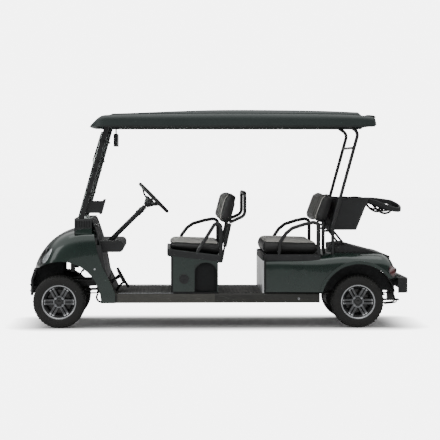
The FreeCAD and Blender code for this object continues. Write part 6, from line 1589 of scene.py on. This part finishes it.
@dataclass
class Cockpit:
    """Column sleeve and stalks, pedal treads, pane seals and latches, and the mirror's glass."""

    axis: Place = (0.71325, 0.0, 0.70091)
    wheel: Place = (-0.562, -0.285, 1.128)
    sleeve_drop: float = 0.170
    latches: Line = ((-1.118, 1.165), (-1.062, 1.37), (-1.035, 1.448), (-0.985, 1.62))

    def column_form(self) -> Form:
        """A ribbed sleeve and a stalk with a ball on each side of the column's head."""
        axis = np.array(self.axis)
        head = np.array(self.wheel) - axis * self.sleeve_drop
        rings = lathe([(0.024, -0.03), (0.027, -0.028), (0.027, -0.01), (0.024, -0.008), (0.024, 0.008), (0.027, 0.010),
                       (0.027, 0.028), (0.024, 0.03)], 36)
        made = rings.framed(tuple(head), Y_WAY, tuple(np.cross(axis, Y_WAY)))
        ball = lathe([(0.004, -0.008), (0.009, -0.005), (0.0105, 0.0), (0.009, 0.005), (0.0, 0.009)], 20)
        for side in (-1, 1):
            root = head + (0, side * 0.022, 0)
            tip = root + np.array([-0.012, 0.05, -0.018]) * side
            made = made + tube([root, tip], 0.006, Z_WAY, 12) + ball.standing(tip)
        return made

    def tread_form(self, y: float, wide: float, low: Pair, high: Pair) -> Form:
        """The rubber tread on a pedal, a thick leaning pad with cross ribs, and the arm behind.

        Args:
            y: its place across the cart.
            wide: its width.
            low: its lower end along the cart and upward.
            high: its upper end.

        Returns:
            The tread.
        """
        foot, head = np.array([low[0], y, low[1]]), np.array([high[0], y, high[1]])
        middle, ahead = (foot + head) / 2, unit(head - foot)
        face = np.cross(ahead, Y_WAY)
        face = face * np.sign(face[0])
        across = np.array([0, wide * 0.44, 0])
        made = rail([foot, head], wide, 0.020, Y_WAY, 6)
        for share in np.linspace(0.12, 0.88, 6):
            spot = foot + (head - foot) * share + face * 0.010
            made = made + rail([spot - across, spot + across], 0.007, 0.006, tuple(ahead), 4)
        arm = [middle - face * 0.006, middle - face * 0.05 + (0, 0, -0.004), middle - face * 0.096 + (0, 0, -0.03)]
        return made + tube(arm, 0.010, Y_WAY, 10)

    def seal_form(self) -> Form:
        """Rubber edge seals down both sides of each windshield pane, and its latches."""
        made = []
        for node in ("windshield_lower", "windshield_upper"):
            low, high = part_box(node)
            y = low[1] + 0.010
            made.append(rail([(low[0] + 0.006, y, low[2] + 0.006), (high[0] - 0.006, y, high[2] - 0.006)],
                             0.012, 0.009, Y_WAY, 6))
        latch = slab(round_outline(0.030, 0.020, 0.004, 4), -0.008, 0.010, 0.002)
        return joined(made + [latch.standing((x, -0.515, z)) for x, z in self.latches]).both_sides()

    def build(self) -> None:
        """Makes the fittings of the driver's place."""
        fit("column_sleeve", self.column_form(), MOULDING)
        brake = self.tread_form(-0.335, 0.094, (-0.819, 0.402), (-0.882, 0.514))
        drive = self.tread_form(-0.222, 0.078, (-0.782, 0.338), (-0.862, 0.440))
        fit("pedal_treads", brake + drive, SOFT_BLACK)
        fit("pane_seals", self.seal_form(), SOFT_BLACK)
        low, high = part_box("mirror")
        glass = slab(round_outline(high[1] - low[1] - 0.03, 0.088, 0.02, 8), 0.0, 0.0015, 0.0006)
        fit("mirror_glass", glass.standing((high[0] - 0.0005, 0.0, low[2] + 0.056), Y_WAY), MIRROR_FACE)


def placed(thing: Piece, spot: Place, aim: Place) -> Piece:
    """Puts a lamp or a camera into the scene.

    Args:
        thing: the lamp or camera.
        spot: where it stands.
        aim: the place that it points at.

    Returns:
        The same lamp or camera.
    """
    thing.location = spot
    thing.rotation_euler = (Vector(aim) - Vector(spot)).to_track_quat("-Z", "Y").to_euler()
    bpy.context.scene.collection.objects.link(thing)
    return thing


@dataclass
class Studio:
    """The pale floor, the soft lights and the camera."""

    eye: Place = (-0.419, -15.69, 1.415)
    target: Place = (0.0126, -0.59, 0.9407)
    lens: float = 143.2
    sensor: float = 36.0
    ambient: float = 0.8
    reflected: float = 0.2
    high_band: float = 1.5
    band: Pair = (0.34, 0.60)
    backdrop: float = 5.0
    horizon: float = 5.9
    shade_half_length: float = 1.45
    shade_half_width: float = 0.42
    shade_fade: float = 0.42
    floor_reach: float = 60.0

    def floor(self) -> None:
        """A wide pale floor that glows white to the eye, except in a fixed rounded rectangle under the cart, where the
        glow fades out: a painted shadow, inside which the cart's own shade shows.
        """
        bench = Bench("studio_floor")
        place = bench.node("ShaderNodeSeparateXYZ", {0: bench.coords}).outputs
        outs = []
        for axis, half in (("X", self.shade_half_length), ("Y", self.shade_half_width)):
            beyond = bench.calc("MAXIMUM", bench.calc("SUBTRACT", bench.calc("ABSOLUTE", place[axis]), half), 0.0)
            outs.append(bench.product(beyond, beyond))
        away = bench.calc("SQRT", bench.calc("ADD", *outs))
        # The glow fades to nothing towards a fixed rounded rectangle under the cart: painted shadow.
        glow = bench.spread(away, 0.0, self.shade_fade, 0.0, 1.0)
        glow = bench.product(bench.product(glow, glow), self.backdrop)
        rays = bench.node("ShaderNodeLightPath", {}).outputs
        seen = bench.calc("MAXIMUM", rays["Is Camera Ray"], rays["Is Transmission Ray"])
        tone = bench.blend(bench.noise(0.6), srgb(252, 252, 252), srgb(248, 248, 248))
        bench.feed(Base_Color=tone, Roughness=0.95, Specular_IOR_Level=0.1, Emission_Color=WHITE)
        bench.feed(Emission_Strength=bench.product(glow, seen))
        mesh = bpy.data.meshes.new("studio_floor")
        corners = np.array([(-1, -1, 0), (1, -1, 0), (1, 1, 0), (-1, 1, 0)]) * self.floor_reach
        mesh.from_pydata(corners, [], [range(4)])
        mesh.materials.append(bench.material)
        floor = bpy.data.objects.new("studio_floor", mesh)
        bpy.context.scene.collection.objects.link(floor)

    def lamp(self, name: str, spot: Place, aim: Place, size: Pair, power: float) -> None:
        """A soft rectangular light.

        Args:
            name: its name.
            spot: where it hangs.
            aim: what it points at.
            size: its two sides.
            power: its watts.
        """
        data = bpy.data.lights.new(name, "AREA")
        data.shape = "RECTANGLE"
        data.size, data.size_y = size
        data.energy = power
        placed(bpy.data.objects.new(name, data), spot, aim)

    def sky(self) -> None:
        """A pale surrounding: even for matt surfaces, darker below than above in reflections, and
        bright to look at."""
        world = bpy.data.worlds.new("studio_sky")
        world.use_nodes = True
        world.cycles.sampling_method = "NONE"
        nodes = Nodes(world.node_tree)
        background = world.node_tree.nodes["Background"].inputs
        background["Color"].default_value = WHITE
        rays = nodes.node("ShaderNodeLightPath", {}).outputs
        way = nodes.node("ShaderNodeTexCoord", {}).outputs["Generated"]
        height = nodes.node("ShaderNodeSeparateXYZ", {0: way}).outputs["Z"]
        band = nodes.spread(height, *self.band, self.reflected, self.high_band, interpolation_type="SMOOTHSTEP")
        strength = self.ambient
        for ray, level in (("Glossy", band), ("Camera", self.horizon), ("Transmission", self.horizon)):
            strength = nodes.spread(rays[f"Is {ray} Ray"], 0.0, 1.0, strength, level)
        nodes.fill(background["Strength"], strength)
        bpy.context.scene.world = world

    def build(self) -> None:
        """Sets up the camera, square to the cart's left side, then the floor, the sky and the lights."""
        data = bpy.data.cameras.new("side_camera")
        data.lens = self.lens
        data.sensor_width = self.sensor
        bpy.context.scene.camera = placed(bpy.data.objects.new("side_camera", data), self.eye, self.target)
        self.floor()
        self.sky()
        self.lamp("overhead", (0.0, -0.6, 5.2), (0.0, 0.0, 0.5), (7.0, 3.0), 90.0)
        self.lamp("front_fill", (-6.5, -5.0, 3.2), (-0.6, 0.0, 0.8), (3.0, 3.0), 85.0)


def main() -> None:
    """Builds the cart's looks piece by piece."""
    logging.basicConfig(level=logging.INFO, format="%(message)s")
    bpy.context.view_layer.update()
    Studio().build()
    Body().build()
    for side, share in SIDES.items():
        Wheel("front", side, -1.379, share * 0.470).build()
        Wheel("rear", side, 1.211, share * 0.490).build()
    for part in (Canopy(), Pedestal(), FrontEnd(), Uprights(), FloorTrim(), TailEnd(), BagRack(), Cockpit(), Seats(),
                 Steering()):
        part.build()


if __name__ == "__main__":
    main()
